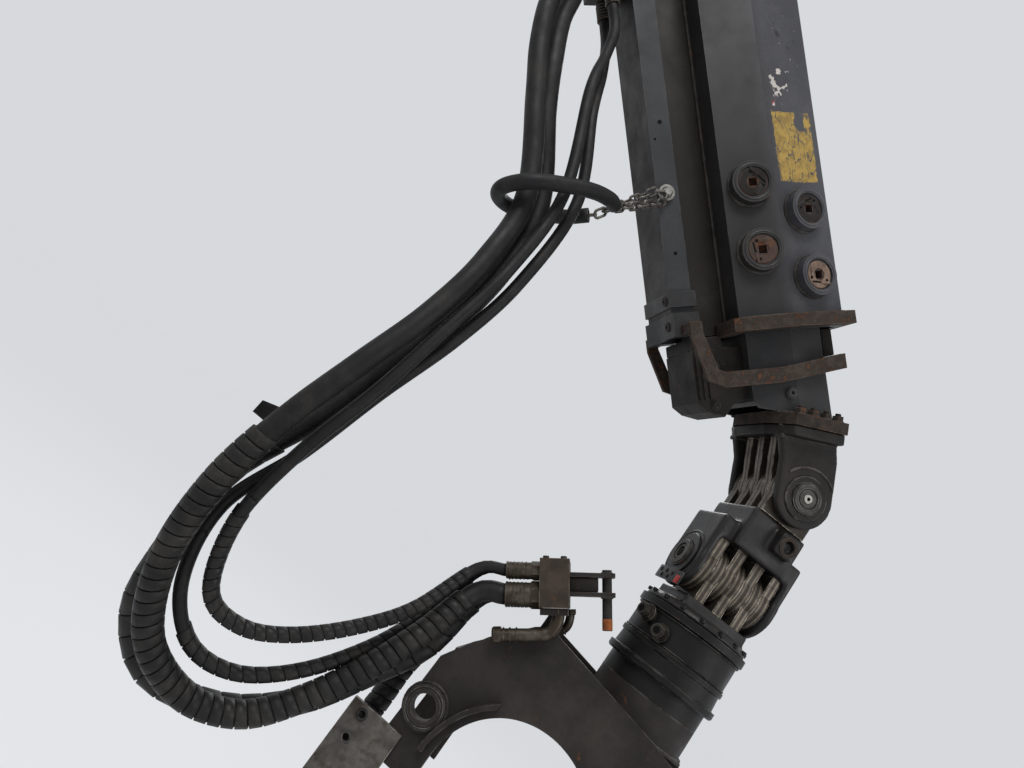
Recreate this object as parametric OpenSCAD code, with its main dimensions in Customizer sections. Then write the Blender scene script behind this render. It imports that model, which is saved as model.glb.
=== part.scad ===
// Telescopic stick of a forestry harvester crane, with its brake link, rotator,
// tilt frame and free-hanging hose loop. The stick's pivot is the origin, +Z is up,
// +X points outward along the crane and Y runs along the pivot. The link hangs plumb.

/* [Stick] */
// slope of the stick below level, degrees
slope = 46.6; // [20:0.1:70]
// pivot centre to the mouth of the stick
stick_len = 2000; // [1600:10:3000]
// width of the stick at its fold line
box_w = 260; // [200:2:340]
// width of the stick's top and bottom faces
box_edge_w = 220; // [160:2:300]
// height of the top face above the stick's axis
box_top = 150; // [110:1:200]
// depth of the bottom face below the stick's axis
box_bottom = 95; // [70:1:150]
// height of the fold line above the stick's axis
box_fold = 20; // [0:1:60]
// wall of the stick
box_wall = 10; // [6:1:16]
// rear end of the box, measured from the pivot
box_start = 150; // [120:5:260]

/* [Pivot] */
// bore of the stick's pivot
pivot_bore_d = 70; // [50:1:100]
// outside of the pivot tube
pivot_tube_d = 130; // [110:1:180]
// length of the pivot tube
pivot_tube_w = 240; // [180:2:300]
// bore of the lug for the stick cylinder
lug_bore_d = 50; // [40:1:70]
// lug bore: distance from the pivot along the stick
lug_x = 430; // [350:5:700]
// lug bore: height above the top face
lug_rise = 80; // [60:1:120]

/* [Extension] */
// stroke of the extension
stroke = 900; // [500:10:1100]
// gap between the stick's inside and the extension, at the sides and below
pad_gap = 12; // [8:1:20]
// gap between the stick's inside and the extension, above
top_pad_gap = 34; // [20:1:40]
// wall of the extension
ext_wall = 8; // [6:1:12]
// length of the extension that stays inside the stick at full reach
ext_overlap = 580; // [500:10:700]
// mouth to the middle of the nose flange
nose_reach = 205; // [180:1:300]
// lean of the nose flange towards plumb, degrees
nose_tilt = 17; // [0:1:30]
// thickness of each flange plate
flange_t = 25; // [16:1:32]
// flange size across the crane, at its top
flange_w = 268; // [262:2:300]
// flange size across the crane, at its foot
flange_foot_w = 140; // [120:2:200]
// flange top above the middle of the nose
flange_up = 109; // [104:1:130]
// flange foot below the middle of the nose
flange_down = 45; // [40:1:60]

/* [Extension cylinder] */
// outside of the barrel
barrel_d = 76; // [60:1:84]
// inside of the barrel
barrel_bore_d = 63; // [50:1:70]
// rod
rod_d = 45; // [32:1:50]
// depth of the cylinder's axis below the stick's axis
cyl_depth = 155; // [145:1:170]
// running clearance of the rod in its gland, on the radius
rod_clear = 0.05; // [0.02:0.01:0.1]
// width of the guard channel
channel_w = 126; // [110:2:160]
// depth of the channel's outer face below the stick's axis
channel_depth = 225; // [210:1:260]

/* [Brake link] */
// upper pin: distance past the mouth, along the stick
pin_a_reach = 360; // [340:1:420]
// upper pin: height over the stick's axis
pin_a_rise = 4; // [-20:1:40]
// upper pin to lower pin
link_len = 233.4; // [210:0.2:260]
// diameter of both link pins
link_pin_d = 50; // [40:1:60]
// radius of the disc heads
disc_r = 62; // [52:1:68]
// discs of the fixed side in each stack
disc_count = 3; // [2:1:5]
// clearance between neighbouring discs
disc_gap = 0.6; // [0.3:0.1:1.5]
// outside width over the fork cheeks
fork_w = 212; // [190:2:240]
// thickness of a fork cheek
cheek_t = 20; // [16:1:26]
// running clearance of the pins, on the radius
pin_clear = 0.05; // [0.02:0.01:0.1]

/* [Rotator] */
// radius of the rotator's rims
rotator_r = 124; // [118:1:140]
// lower pin to the rotator's top rim
rotator_drop = 112; // [105:1:130]
// height of the rotator
rotator_h = 138; // [110:1:180]

/* [Tilt frame] */
// turn of the frame about the rotator, degrees
head_yaw = -20; // [-60:1:60]
// thickness of the side plates
plate_t = 16; // [12:1:20]
// outside width over the side plates
frame_w = 260; // [220:2:300]
// tilt pivot: distance to the side of the rotator's axis
tilt_x = 352; // [320:2:400]
// tilt pivot: depth below the lower pin
tilt_z = 562; // [520:2:620]
// bore of the tilt pivot
tilt_bore_d = 50; // [40:1:60]
// bore of the ear for the tilt cylinder
ear_bore_d = 40; // [30:1:50]

/* [Hoses] */
// outside of the thick hoses
hose_d = 42; // [30:1:50]
// outside of the thin hoses
thin_hose_d = 24; // [16:1:30]

/* [Hidden] */
$fn = 48;
seat = 0.3;

// stick section, drawn as [across, up], drawn in by d on every side and by drop
// more at the top
function section(d, drop = 0) = [
    [-(box_edge_w / 2 - d), -(box_bottom - d)],
    [box_edge_w / 2 - d, -(box_bottom - d)],
    [box_w / 2 - d, box_fold],
    [box_edge_w / 2 - d, box_top - d - drop],
    [-(box_edge_w / 2 - d), box_top - d - drop],
    [-(box_w / 2 - d), box_fold],
];

ext_inset = box_wall + pad_gap;
ext_drop = top_pad_gap - pad_gap;
ext_inside = stroke + ext_overlap;
ext_bottom = box_bottom - ext_inset;
pin_a_along = stick_len + pin_a_reach;
pin_a = [
    cos(slope) * pin_a_along + sin(slope) * pin_a_rise,
    0,
    cos(slope) * pin_a_rise - sin(slope) * pin_a_along,
];
pin_b = pin_a - [0, 0, link_len];

// where a point of the stick lies: distance along it, across and up
function stick_point(x, y, h) = [
    cos(slope) * x + sin(slope) * h,
    y,
    cos(slope) * h - sin(slope) * x,
];

// upper pin seen from the nose flange
nose_dx = pin_a_reach - nose_reach;
pin_a_out = cos(nose_tilt) * nose_dx - sin(nose_tilt) * pin_a_rise;
pin_a_up = sin(nose_tilt) * nose_dx + cos(nose_tilt) * pin_a_rise;

// disc stacks: 2n + 1 slots between the cheeks, the fixed discs in the odd ones
stack_w = fork_w - 2 * cheek_t - 2 * disc_gap;
slot_w = stack_w / (2 * disc_count + 1);
disc_t = slot_w - disc_gap;
link_reach = disc_r + 8;
leg_half = disc_r - 5;
cheek_r = disc_r + 10;
hanger_r = disc_r + 3;
pin_len = fork_w + 8;

rotator_top = pin_b[2] - rotator_drop;
rotator_bottom = rotator_drop + rotator_h;
flange_drop = rotator_bottom + 0.3;
rotor_flange_t = 36;

// hose routes, each point as [x, y, z] where the hose hangs at rest
route_a = [
    [435, -60, -895], [485, -80, -955], [525, -105, -1040], [545, -130, -1140],
    [565, -150, -1245], [610, -165, -1345], [670, -175, -1440], [780, -190, -1620],
    [800, -220, -1780], [785, -245, -1930], [750, -265, -2075], [715, -265, -2215],
    [690, -240, -2365], [700, -195, -2520], [760, -150, -2645], [865, -110, -2700],
    [965, -85, -2680], [1035, -65, -2610], [1095, -50, -2515], [1150, -30, -2400],
    [1197.9, -0.1, -2276.1], [1245.6, -17.5, -2240.6],
];
route_b = [
    [435, 0, -895], [485, -5, -960], [535, -35, -1040], [575, -75, -1130],
    [600, -105, -1230], [645, -130, -1330], [700, -140, -1430], [810, -145, -1600],
    [835, -175, -1760], [820, -195, -1925], [778, -175, -2070], [742, -172, -2195],
    [685, -170, -2345], [682, -130, -2500], [700, -82, -2640], [790, -45, -2728],
    [930, -25, -2712], [1045, -5, -2630], [1125, 15, -2520], [1190, 35, -2415],
    [1215.7, 48.7, -2276.1], [1263.4, 31.4, -2240.6],
];
route_c = [
    [650, -45, -1075], [695, -75, -1145], [720, -110, -1235], [745, -165, -1350],
    [835, -200, -1575], [845, -230, -1770], [825, -245, -1930], [800, -250, -2090],
    [765, -235, -2245], [750, -195, -2400], [790, -160, -2525], [865, -135, -2550],
    [945, -110, -2520], [1035, -75, -2450], [1110, -35, -2365], [1172, 9.3, -2236.8],
    [1219.7, -8.1, -2201.3],
];
route_d = [
    [650, 15, -1075], [695, -15, -1145], [735, -70, -1245], [775, -140, -1370],
    [865, -175, -1560], [875, -200, -1765], [850, -220, -1930], [805, -215, -2090],
    [765, -200, -2250], [715, -180, -2400], [740, -150, -2540], [815, -115, -2625],
    [910, -90, -2630], [1005, -60, -2570], [1090, -20, -2470], [1145, 30, -2370],
    [1189.8, 58.2, -2236.8], [1237.5, 40.8, -2201.3],
];
route_e = [
    [1289, 101, -2240], [1241, 118, -2276], [1210, 118, -2390], [1190, 112, -2490],
    [1185, 90, -2590], [1166, 69, -2660], [1174, 49, -2707],
];
route_sling = [
    [899, -120, -1539], [864, -100, -1565], [815, -103, -1600], [768, -124, -1633],
    [738, -166, -1649], [740, -210, -1645], [774, -242, -1620], [828, -240, -1580],
    [877, -226, -1546], [911, -200, -1524], [925, -175, -1515],
];

// frames of the moving groups
module on_stick() {
    rotate([0, slope, 0])
        children();
}

module at_mouth() {
    on_stick()
        translate([stick_len, 0, 0])
            children();
}

module at_nose() {
    at_mouth()
        translate([nose_reach, 0, 0])
            rotate([0, nose_tilt, 0])
                children();
}

module at_pin_a() {
    translate(pin_a)
        children();
}

module at_pin_b() {
    translate(pin_b)
        children();
}

module at_head() {
    at_pin_b()
        rotate([0, 0, head_yaw])
            children();
}

// shapes that repeat
// extrudes an outline drawn as [across, up] along the crane, from x0 to x1
module along(x0, x1) {
    translate([x0, 0, 0])
        rotate([90, 0, 90])
            linear_extrude(x1 - x0)
                children();
}

// extrudes an outline drawn as [along, up] across the crane, from y0 to y1
module across(y0, y1) {
    translate([0, y1, 0])
        rotate([90, 0, 0])
            linear_extrude(y1 - y0)
                children();
}

// rod across the crane, centred
module cross_rod(r, w) {
    rotate([90, 0, 0])
        cylinder(r = r, h = w, center = true);
}

// box given by its low and high corners
module block(low, high) {
    translate(low)
        cube(high - low);
}

// swept tubes for hoses and the sling
function unit(v) = v / norm(v);
function heading(p, i) = unit(p[min(i + 1, len(p) - 1)] - p[max(i - 1, 0)]);
function ring(c, u, w, r, n) = [
    for (k = [0 : n - 1]) c + r * (cos(360 * k / n) * u + sin(360 * k / n) * w)
];
function rings(p, u, r, n, i = 0) = i == len(p) ? [] :
    let (t = heading(p, i), v = unit(u - t * (u * t)))
    concat(ring(p[i], v, cross(t, v), r, n), rings(p, v, r, n, i + 1));

module tube(route, d, sides = 10) {
    last = (len(route) - 1) * sides;
    first_cap = [for (k = [0 : sides - 1]) k];
    last_cap = [for (k = [sides - 1 : -1 : 0]) last + k];
    walls = [
        for (i = [0 : len(route) - 2], k = [0 : sides - 1], half = [0, 1])
            let (a = i * sides + k, b = i * sides + (k + 1) % sides)
            half == 0 ? [a, b, b + sides] : [a, b + sides, a + sides]
    ];
    polyhedron(
        points = rings(route, [0, 1, 0.2], d / 2, sides),
        faces = concat([last_cap], [first_cap], [for (f = walls) [f[2], f[1], f[0]]])
    );
}

// stick
module stick_box() color([0.30, 0.32, 0.34])
    on_stick() {
        difference() {
            along(box_start, stick_len - 0.01)
                polygon(section(0));
            along(box_start + 16, stick_len + 1)
                polygon(section(box_wall));
        }
    }

tail_cheek_y = 84;
tail_cheek_t = 16;

module stick_tail() color([0.30, 0.32, 0.34])
    on_stick() {
        difference() {
            union() {
                cross_rod(pivot_tube_d / 2, pivot_tube_w);
                for (side = [-1, 1])
                    across(side * tail_cheek_y - tail_cheek_t / 2, side * tail_cheek_y + tail_cheek_t / 2)
                        polygon([
                            [-8, pivot_tube_d / 2], [30, pivot_tube_d / 2], [box_start, box_top - 4],
                            [box_start, 4 - box_bottom], [10, -pivot_tube_d / 2], [-8, -pivot_tube_d / 2],
                        ]);
            }
            cross_rod(pivot_bore_d / 2, pivot_tube_w + 2);
        }
    }

lug_ear_t = 20;
lug_ear_y = 55;
lug_ear_r = 48;

module cylinder_lug() color([0.30, 0.32, 0.34])
    on_stick()
        for (side = [-1, 1])
            difference() {
                across(side * lug_ear_y - lug_ear_t / 2, side * lug_ear_y + lug_ear_t / 2)
                    difference() {
                        union() {
                            polygon([
                                [lug_x - 130, box_top], [lug_x - lug_ear_r, box_top + lug_rise],
                                [lug_x + lug_ear_r, box_top + lug_rise], [lug_x + 90, box_top],
                            ]);
                            translate([lug_x, box_top + lug_rise])
                                circle(lug_ear_r);
                        }
                        translate([lug_x, box_top + lug_rise])
                            circle(d = lug_bore_d);
                    }
            }

collar_lip = 27;
collar_top_lip = 12;
collar_t = 28;

module mouth_collar() color([0.42, 0.30, 0.22])
    at_mouth()
        difference() {
            along(-collar_t, 0)
                polygon(section(-collar_lip, collar_lip - collar_top_lip));
            along(-collar_t - 1, 1)
                polygon(section(-0.2));
            block([-collar_t - 1, -web_y - 1, -300], [1, web_y + 1, 1 - box_bottom]);
        }

strap_t = 10;
strap_y = box_w / 2 - 7;
strap_foot = 12 - channel_depth;
strap_top = 134;

module guard_strap() color([0.42, 0.28, 0.20])
    at_mouth() {
        for (side = [-1, 1]) {
            across(side * (strap_y - strap_t / 2) - strap_t / 2, side * (strap_y - strap_t / 2) + strap_t / 2)
                polygon([
                    [-30, strap_foot], [0, strap_foot], [96, -186], [112, -150], [112, -20],
                    [94, strap_top], [62, strap_top], [80, -20], [80, -148], [74, -162],
                    [-6, strap_foot + 26], [-30, strap_foot + 26],
                ]);
            block(
                [-30, min(side * collar_side, side * strap_y), strap_foot],
                [-10, max(side * collar_side, side * strap_y), strap_foot + 26]
            );
        }
        block([62.4, -strap_y, strap_top - 12], [93.6, strap_y, strap_top]);
    }

// columns: distance before the mouth, height over the axis
adjusters = [[317, -36], [254, 80], [170, -34], [109, 82]];
adjuster_r = 45;
adjuster_plug_r = 33;
adjuster_rise = 24;
lower_lean = atan2((box_w - box_edge_w) / 2, box_bottom + box_fold);
upper_lean = atan2((box_w - box_edge_w) / 2, box_top - box_fold);

// half width of the box at a height over its axis
function half_width(h) = h < box_fold
    ? box_edge_w / 2 + (h + box_bottom) * tan(lower_lean)
    : box_edge_w / 2 + (box_top - h) * tan(upper_lean);

// places its children on a side face, z pointing out of the face
module on_side(side, back, h) {
    at_mouth()
        translate([-back, side * half_width(h), h])
            rotate([-side * (90 + (h < box_fold ? lower_lean : -upper_lean)), 0, 0])
                children();
}

module adjuster_bosses() color([0.34, 0.33, 0.32])
    for (side = [-1, 1], a = adjusters)
        on_side(side, a[0], a[1])
            difference() {
                translate([0, 0, 0.1])
                    cylinder(r = adjuster_r, h = adjuster_rise);
                translate([0, 0, -1])
                    cylinder(r = adjuster_plug_r + 1, h = adjuster_rise + 2);
            }

module adjuster_plugs() color([0.50, 0.46, 0.42])
    for (side = [-1, 1], a = adjusters)
        on_side(side, a[0], a[1])
            difference() {
                translate([0, 0, 0.1])
                    cylinder(r = adjuster_plug_r, h = adjuster_rise - 4);
                translate([-9, -9, 3])
                    cube([18, 18, adjuster_rise]);
            }

pad_len = 220;

module mouth_pads() color([0.12, 0.12, 0.12])
    at_mouth()
        difference() {
            along(-pad_len - 30, -12)
                polygon(section(box_wall + 0.1));
            along(-pad_len - 40, 10)
                polygon(section(ext_inset - seat, ext_drop));
            for (y = [-1, 1])
                block([-400, min(y * 70, y * 108), -200], [400, max(y * 70, y * 108), -50]);
        }

web_y = 50;
web_t = 8;
channel_wall = 10;
channel_side = 52;
channel_start = 240 - stick_len;

module guard_channel() color([0.31, 0.32, 0.34])
    at_mouth()
        along(channel_start, -8)
            difference() {
                polygon([
                    [-channel_w / 2, -channel_depth], [channel_w / 2, -channel_depth],
                    [channel_w / 2, channel_side - channel_depth], [web_y, channel_side - channel_depth],
                    [web_y, -box_bottom], [-web_y, -box_bottom],
                    [-web_y, channel_side - channel_depth], [-channel_w / 2, channel_side - channel_depth],
                ]);
                polygon([
                    [web_t - web_y, channel_wall - channel_depth], [web_y - web_t, channel_wall - channel_depth],
                    [web_y - web_t, 1 - box_bottom], [web_t - web_y, 1 - box_bottom],
                ]);
            }

// columns: start, end, height over the channel
collar_steps = [[-106, -72, 9], [-58, -8, 15]];
collar_sole = 3;
collar_side = channel_w / 2 + 15.1;
collar_up = 57;

module channel_collar() color([0.33, 0.31, 0.29])
    at_mouth()
        for (step = collar_steps)
            along(step[0], step[1])
                polygon([
                    [-channel_w / 2 - step[2], -channel_depth - collar_sole],
                    [channel_w / 2 + step[2], -channel_depth - collar_sole],
                    [channel_w / 2 + step[2], collar_up - channel_depth],
                    [channel_w / 2 + 0.1, collar_up - channel_depth],
                    [channel_w / 2 + 0.1, -channel_depth - 0.1],
                    [-channel_w / 2 - 0.1, -channel_depth - 0.1],
                    [-channel_w / 2 - 0.1, collar_up - channel_depth],
                    [-channel_w / 2 - step[2], collar_up - channel_depth],
                ]);

barrel_start = 320 - stick_len;
barrel_end = -60;
gland_len = 50;
piston_len = 50;
rod_block_start = 24;

module cylinder_barrel() color([0.22, 0.23, 0.24])
    at_mouth()
        translate([0, 0, -cyl_depth]) {
            difference() {
                along(barrel_start, barrel_end)
                    circle(d = barrel_d);
                along(barrel_start + 30, barrel_end - gland_len)
                    circle(d = barrel_bore_d);
                along(barrel_start + 40, barrel_end + 1)
                    circle(r = rod_d / 2 + rod_clear);
            }
            block([barrel_start - 50, -20, -26], [barrel_start, 20, 26]);
            translate([barrel_start - 35, 0, 0])
                cross_rod(14, 2 * (web_y - web_t) - 0.2);
        }

anchor_back = 324;
anchor_h = 20 - channel_depth;

module chain_anchor() color([0.62, 0.62, 0.60])
    at_mouth()
        translate([-anchor_back, -channel_w / 2, anchor_h])
            rotate([90, 0, 0]) {
                cylinder(r = 13, h = 5);
                translate([0, 0, 4.9])
                    cylinder(r = 18, h = 6);
                cylinder(r = anchor_bolt_r, h = 20);
            }

// chain link for a taut chain of the given pitch: two straight sides and two half
// rings that are a little thicker, z is the pull direction
link_pitch = 26;
link_wire = 3;
link_half_w = 8;

module chain_link(pitch) {
    half_straight = (pitch + 2 * link_wire + seat) / 2 - link_half_w;
    for (side = [-1, 1]) {
        translate([side * link_half_w, 0, 0])
            cylinder(r = link_wire - 0.1, h = 2 * half_straight + 1, center = true, $fn = 16);
        translate([0, 0, side * half_straight])
            rotate([90, 0, 0])
                rotate([0, 0, side > 0 ? 0 : 180])
                    rotate_extrude(angle = 180, $fn = 24)
                        translate([link_half_w, 0])
                            circle(r = link_wire, $fn = 16);
    }
}

// turns z to point from p to q
module aim(p, q) {
    v = q - p;
    translate(p)
        rotate([0, acos(v[2] / norm(v)), atan2(v[1], v[0])])
            children();
}

anchor_bolt_r = 8;
anchor_at = stick_point(stick_len - anchor_back, -channel_w / 2 - 16, anchor_h);
sling_end = len(route_sling) - 1;
eye_r = 3.5;
eye_len = 15;
// each run goes from an end of the sleeve up to the anchor's bolt
// columns: end of the sleeve, its direction, far end seen from the bolt
chain_runs = [
    [route_sling[sling_end], unit(route_sling[sling_end] - route_sling[sling_end - 1]), [8, 0, -26]],
    [route_sling[0], unit(route_sling[0] - route_sling[1]), [-22, 0, -18]],
];

module sling_chain() color([0.45, 0.45, 0.45])
    for (run = chain_runs) {
        start = run[0] + eye_len * run[1];
        end = anchor_at + run[2];
        length = norm(end - start);
        count = round(length / link_pitch);
        aim(run[0] + 0.1 * run[1], start)
            cylinder(r = eye_r, h = eye_len + 2, $fn = 16);
        aim(end, anchor_at)
            cylinder(r = eye_r, h = norm(run[2]) - anchor_bolt_r - 0.1, $fn = 16);
        aim(start, end)
            for (i = [0 : count - 1])
                translate([0, 0, (i + 0.5) * length / count])
                    rotate([0, 0, 90 * (i % 2)])
                        chain_link(length / count);
    }

module sling_sleeve() color([0.13, 0.13, 0.13])
    tube(route_sling, 30, 12);

// columns: distance from the pivot, low side, high side, bottom
bulkheads = [[890, -95, 35, -335], [1171, -75, 45, -300]];
bulkhead_t = 16;
ferrule_len = 58;

module hose_bulkhead() color([0.14, 0.14, 0.15])
    on_stick() {
        for (b = bulkheads)
            block([b[0] - bulkhead_t, b[1], b[3]], [b[0], b[2], -channel_depth]);
        for (y = [-60, 0])
            translate([bulkheads[0][0], y, -300])
                rotate([0, 90, 0])
                    cylinder(d = hose_d + 8, h = ferrule_len);
        for (y = [-45, 15])
            translate([bulkheads[1][0], y, -265])
                rotate([0, 90, 0])
                    cylinder(d = thin_hose_d + 8, h = ferrule_len);
    }

module hose_a() color([0.12, 0.12, 0.12])
    tube(route_a, hose_d);

module hose_b() color([0.12, 0.12, 0.12])
    tube(route_b, hose_d);

module hose_c() color([0.12, 0.12, 0.12])
    tube(route_c, thin_hose_d);

module hose_d_tube() color([0.12, 0.12, 0.12])
    tube(route_d, thin_hose_d);

module hose_e() color([0.12, 0.12, 0.12])
    tube(route_e, hose_d);

// extension
module extension_box() color([0.28, 0.29, 0.30])
    difference() {
        at_mouth()
            difference() {
                along(-ext_inside, nose_reach + 60)
                    polygon(section(ext_inset, ext_drop));
                along(-ext_inside - 1, nose_reach + 61)
                    polygon(section(ext_inset + ext_wall, ext_drop));
                across(-200, 200)
                    polygon([
                        [nose_reach - 61, -ext_bottom - 1], [nose_reach + 70, 40],
                        [nose_reach + 70, -ext_bottom - 1],
                    ]);
            }
        at_nose()
            block([-flange_t, -300, -400], [400, 300, 400]);
    }

rear_pad_len = 120;

module rear_pads() color([0.12, 0.12, 0.12])
    at_mouth()
        difference() {
            along(-ext_inside + 10, -ext_inside + 10 + rear_pad_len)
                polygon(section(box_wall + seat));
            along(-ext_inside, -ext_inside + 20 + rear_pad_len)
                polygon(section(ext_inset - 0.1, ext_drop));
        }

rod_start = 410 - stick_len;

module cylinder_rod() color([0.70, 0.70, 0.70])
    at_mouth()
        translate([0, 0, -cyl_depth]) {
            along(rod_start, rod_block_start)
                circle(d = rod_d);
            along(rod_start - piston_len, rod_start)
                circle(r = barrel_bore_d / 2 - rod_clear);
        }

block_cheek_t = 14;
block_end = 172;
block_foot = 34 - channel_depth;

module rod_block() color([0.20, 0.19, 0.18])
    at_mouth() {
        difference() {
            across(-channel_w / 2 - 3, channel_w / 2 + 3)
                polygon([
                    [rod_block_start, -ext_bottom - 0.1], [rod_block_start, block_foot],
                    [block_end - 34, block_foot], [block_end - 14, -170], [block_end, -132],
                    [block_end - 26, -108], [block_end - 34, -ext_bottom - 0.1],
                ]);
            across(block_cheek_t - channel_w / 2, channel_w / 2 - block_cheek_t)
                polygon([
                    [rod_block_start + 24, -ext_bottom - 12], [rod_block_start + 24, block_foot + 14],
                    [block_end - 46, block_foot + 14], [block_end - 30, -164],
                    [block_end - 46, -ext_bottom - 12],
                ]);
        }
        for (rise = [6, 18, 30])
            block(
                [rod_block_start + 6, -channel_w / 2 - 7, block_foot + rise],
                [block_end - 40, -channel_w / 2 - 2.9, block_foot + rise + 5]
            );
    }

// outline of the flange plates, drawn as [across, up], drawn in by d
function flange_outline(d) = [
    [-flange_foot_w / 2 + d, d - flange_down], [flange_foot_w / 2 - d, d - flange_down],
    [flange_w / 2 - d, -12], [flange_w / 2 - d, flange_up - d],
    [d - flange_w / 2, flange_up - d], [d - flange_w / 2, -12],
];
bolt_inset = 13;
bolt_head_r = 12;
bolt_rises = [2, 32, 62, 90];

module nose_flange() color([0.43, 0.31, 0.22])
    at_nose() {
        along(0.1 - flange_t, 0)
            polygon(flange_outline(0));
        for (side = [-1, 1], rise = bolt_rises)
            translate([-flange_t - 12, side * (flange_w / 2 - bolt_inset), rise])
                rotate([0, 90, 0])
                    cylinder(r = bolt_head_r, h = 12.2, $fn = 6);
    }

carrier_t = 24;

// everything on the hanger is drawn from its flange, x pointing out of the nose
module hanger() color([0.23, 0.22, 0.21])
    at_nose() {
        along(0.1, carrier_t)
            polygon(flange_outline(2));
        for (side = [-1, 1])
            across(
                min(side * fork_w / 2, side * (fork_w / 2 - cheek_t)),
                max(side * fork_w / 2, side * (fork_w / 2 - cheek_t))
            )
                difference() {
                    union() {
                        polygon([
                            [1, 14 - flange_down], [1, flange_up - 4], [60, flange_up + 6],
                            [pin_a_out + 6, pin_a_up + hanger_r], [pin_a_out - 2, pin_a_up - hanger_r],
                            [70, -14],
                        ]);
                        translate([pin_a_out, pin_a_up])
                            circle(hanger_r, $fn = 72);
                    }
                    translate([pin_a_out, pin_a_up])
                        circle(link_pin_d / 2 + pin_clear);
                }
    }

// discs of one stack: a round head on the pin and a leg that reaches its carrier.
// first is the first slot used, leg the leg's length, lean its direction from -z
module disc_stack(first, leg, lean, clear) {
    for (i = [first : 2 : 2 * disc_count])
        translate([0, -stack_w / 2 + (i + 0.5) * slot_w, 0])
            rotate([0, lean, 0])
                across(-disc_t / 2, disc_t / 2)
                    difference() {
                        union() {
                            circle(disc_r, $fn = 72);
                            translate([-leg_half, 0.1 - leg])
                                square([2 * leg_half, leg]);
                        }
                        circle(link_pin_d / 2 + clear);
                    }
}

hanger_leg = pin_a_out - carrier_t;

module hanger_discs() color([0.36, 0.25, 0.18])
    at_pin_a()
        disc_stack(1, hanger_leg, 180 - (90 - slope - nose_tilt), pin_clear);

module link_pin(socket) {
    difference() {
        union() {
            cross_rod(link_pin_d / 2, pin_len);
            for (side = [-1, 1])
                translate([0, side * (fork_w / 2 + 4.2), 0])
                    cross_rod(33, 8);
        }
        translate([0, -pin_len / 2 - 4, 0])
            cube([socket, 14, socket], center = true);
    }
}

module upper_pin() color([0.30, 0.28, 0.26])
    at_pin_a()
        link_pin(14);

// brake link: upper discs on the upper pin, fork cheeks on the lower pin
body_half = disc_r + 6;

module link_body() color([0.13, 0.13, 0.14])
    at_pin_a() {
        difference() {
            union() {
                block(
                    [-body_half, -stack_w / 2, link_reach - link_len],
                    [body_half, stack_w / 2, -link_reach]
                );
                block(
                    [-fork_w / 2, -body_half, link_reach - link_len],
                    [fork_w / 2, body_half, link_reach - link_len + 46]
                );
                translate([22, -stack_w / 2 - 14, -link_reach - 38])
                    cube([48, 30, 48], center = true);
            }
            translate([22, -stack_w / 2 - 30, -link_reach - 38])
                rotate([-90, 0, 0])
                    cylinder(r = 14, h = 14);
        }
        for (side = [-1, 1])
            difference() {
                translate([side * (fork_w - cheek_t) / 2, 0, -link_len])
                    rotate([0, 0, 90])
                        union() {
                            cross_rod(cheek_r, cheek_t);
                            block([4 - cheek_r, -cheek_t / 2, 0], [cheek_r - 4, cheek_t / 2, link_reach + 10]);
                        }
                translate([0, 0, -link_len])
                    rotate([0, 0, 90])
                        cross_rod(link_pin_d / 2 + pin_clear, fork_w + 2);
            }
    }

module link_discs() color([0.36, 0.25, 0.18])
    at_pin_a() {
        disc_stack(0, link_reach, 0, pin_clear);
        translate([0, 0, -link_len])
            rotate([0, 0, 90])
                disc_stack(0, link_reach, 180, pin_clear);
    }

module lower_pin() color([0.24, 0.23, 0.22])
    at_pin_b()
        rotate([0, 0, -90])
            link_pin(26);

// rotator
neck_h = rotator_drop - link_reach;

module rotator_head() color([0.14, 0.14, 0.15])
    at_pin_b()
        translate([0, 0, -rotator_drop]) {
            block([-stack_w / 2 + 4, -66, neck_h * 0.45 - 1], [stack_w / 2 - 4, 66, neck_h]);
            rotate_extrude($fn = 96)
                polygon([
                    [0, 0], [rotator_r - 6, 0], [rotator_r - 8, 8], [rotator_r - 12, 14],
                    [rotator_r - 18, neck_h * 0.45], [0, neck_h * 0.45],
                ]);
        }

module rotator_discs() color([0.36, 0.25, 0.18])
    at_pin_b()
        rotate([0, 0, 90])
            disc_stack(1, link_reach, 0, pin_clear);

module rotator_housing() color([0.10, 0.10, 0.11])
    at_pin_b()
        translate([0, 0, -rotator_drop - rotator_h])
            rotate_extrude($fn = 96)
                polygon([
                    [0, 0], [rotator_r - 2, 0], [rotator_r + 2, 4], [rotator_r + 2, 14],
                    [rotator_r - 6, 18], [rotator_r - 8, 46], [rotator_r - 4, 48],
                    [rotator_r - 4, 58], [rotator_r - 8, 60], [rotator_r - 8, rotator_h - 20],
                    [rotator_r, rotator_h - 16], [rotator_r, rotator_h - 0.1], [0, rotator_h - 0.1],
                ]);

// columns: turn about the axis, height over the housing's foot
ports = [[200, 100], [222, 80]];

module rotator_ports() color([0.55, 0.53, 0.48])
    at_pin_b()
        translate([0, 0, -rotator_drop - rotator_h])
            for (p = ports)
                rotate([0, 0, p[0]])
                    translate([rotator_r - 7.9, 0, p[1]])
                        rotate([0, 90, 0]) {
                            cylinder(r = 17, h = 18, $fn = 6);
                            translate([0, 0, 17.9])
                                cylinder(r = 12, h = 16);
                        }

// tilt frame, drawn in the yawed frame of the lower pin
module rotor_flange() color([0.20, 0.20, 0.21])
    at_head()
        translate([0, 0, -flange_drop - rotor_flange_t])
            difference() {
                cylinder(r = rotator_r - 12, h = rotor_flange_t, $fn = 96);
                for (k = [0 : 7])
                    rotate([0, 0, 45 * k + 22.5])
                        translate([rotator_r - 26, 0, -1])
                            cylinder(r = 8, h = rotor_flange_t + 2, $fn = 24);
            }

plate_y = frame_w / 2 - plate_t;
crown_top = -flange_drop - rotor_flange_t;
crown_floor = 210 - tilt_z;
crown_foot = 110 - tilt_z;
bracket_x = 116 - tilt_x;

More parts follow.
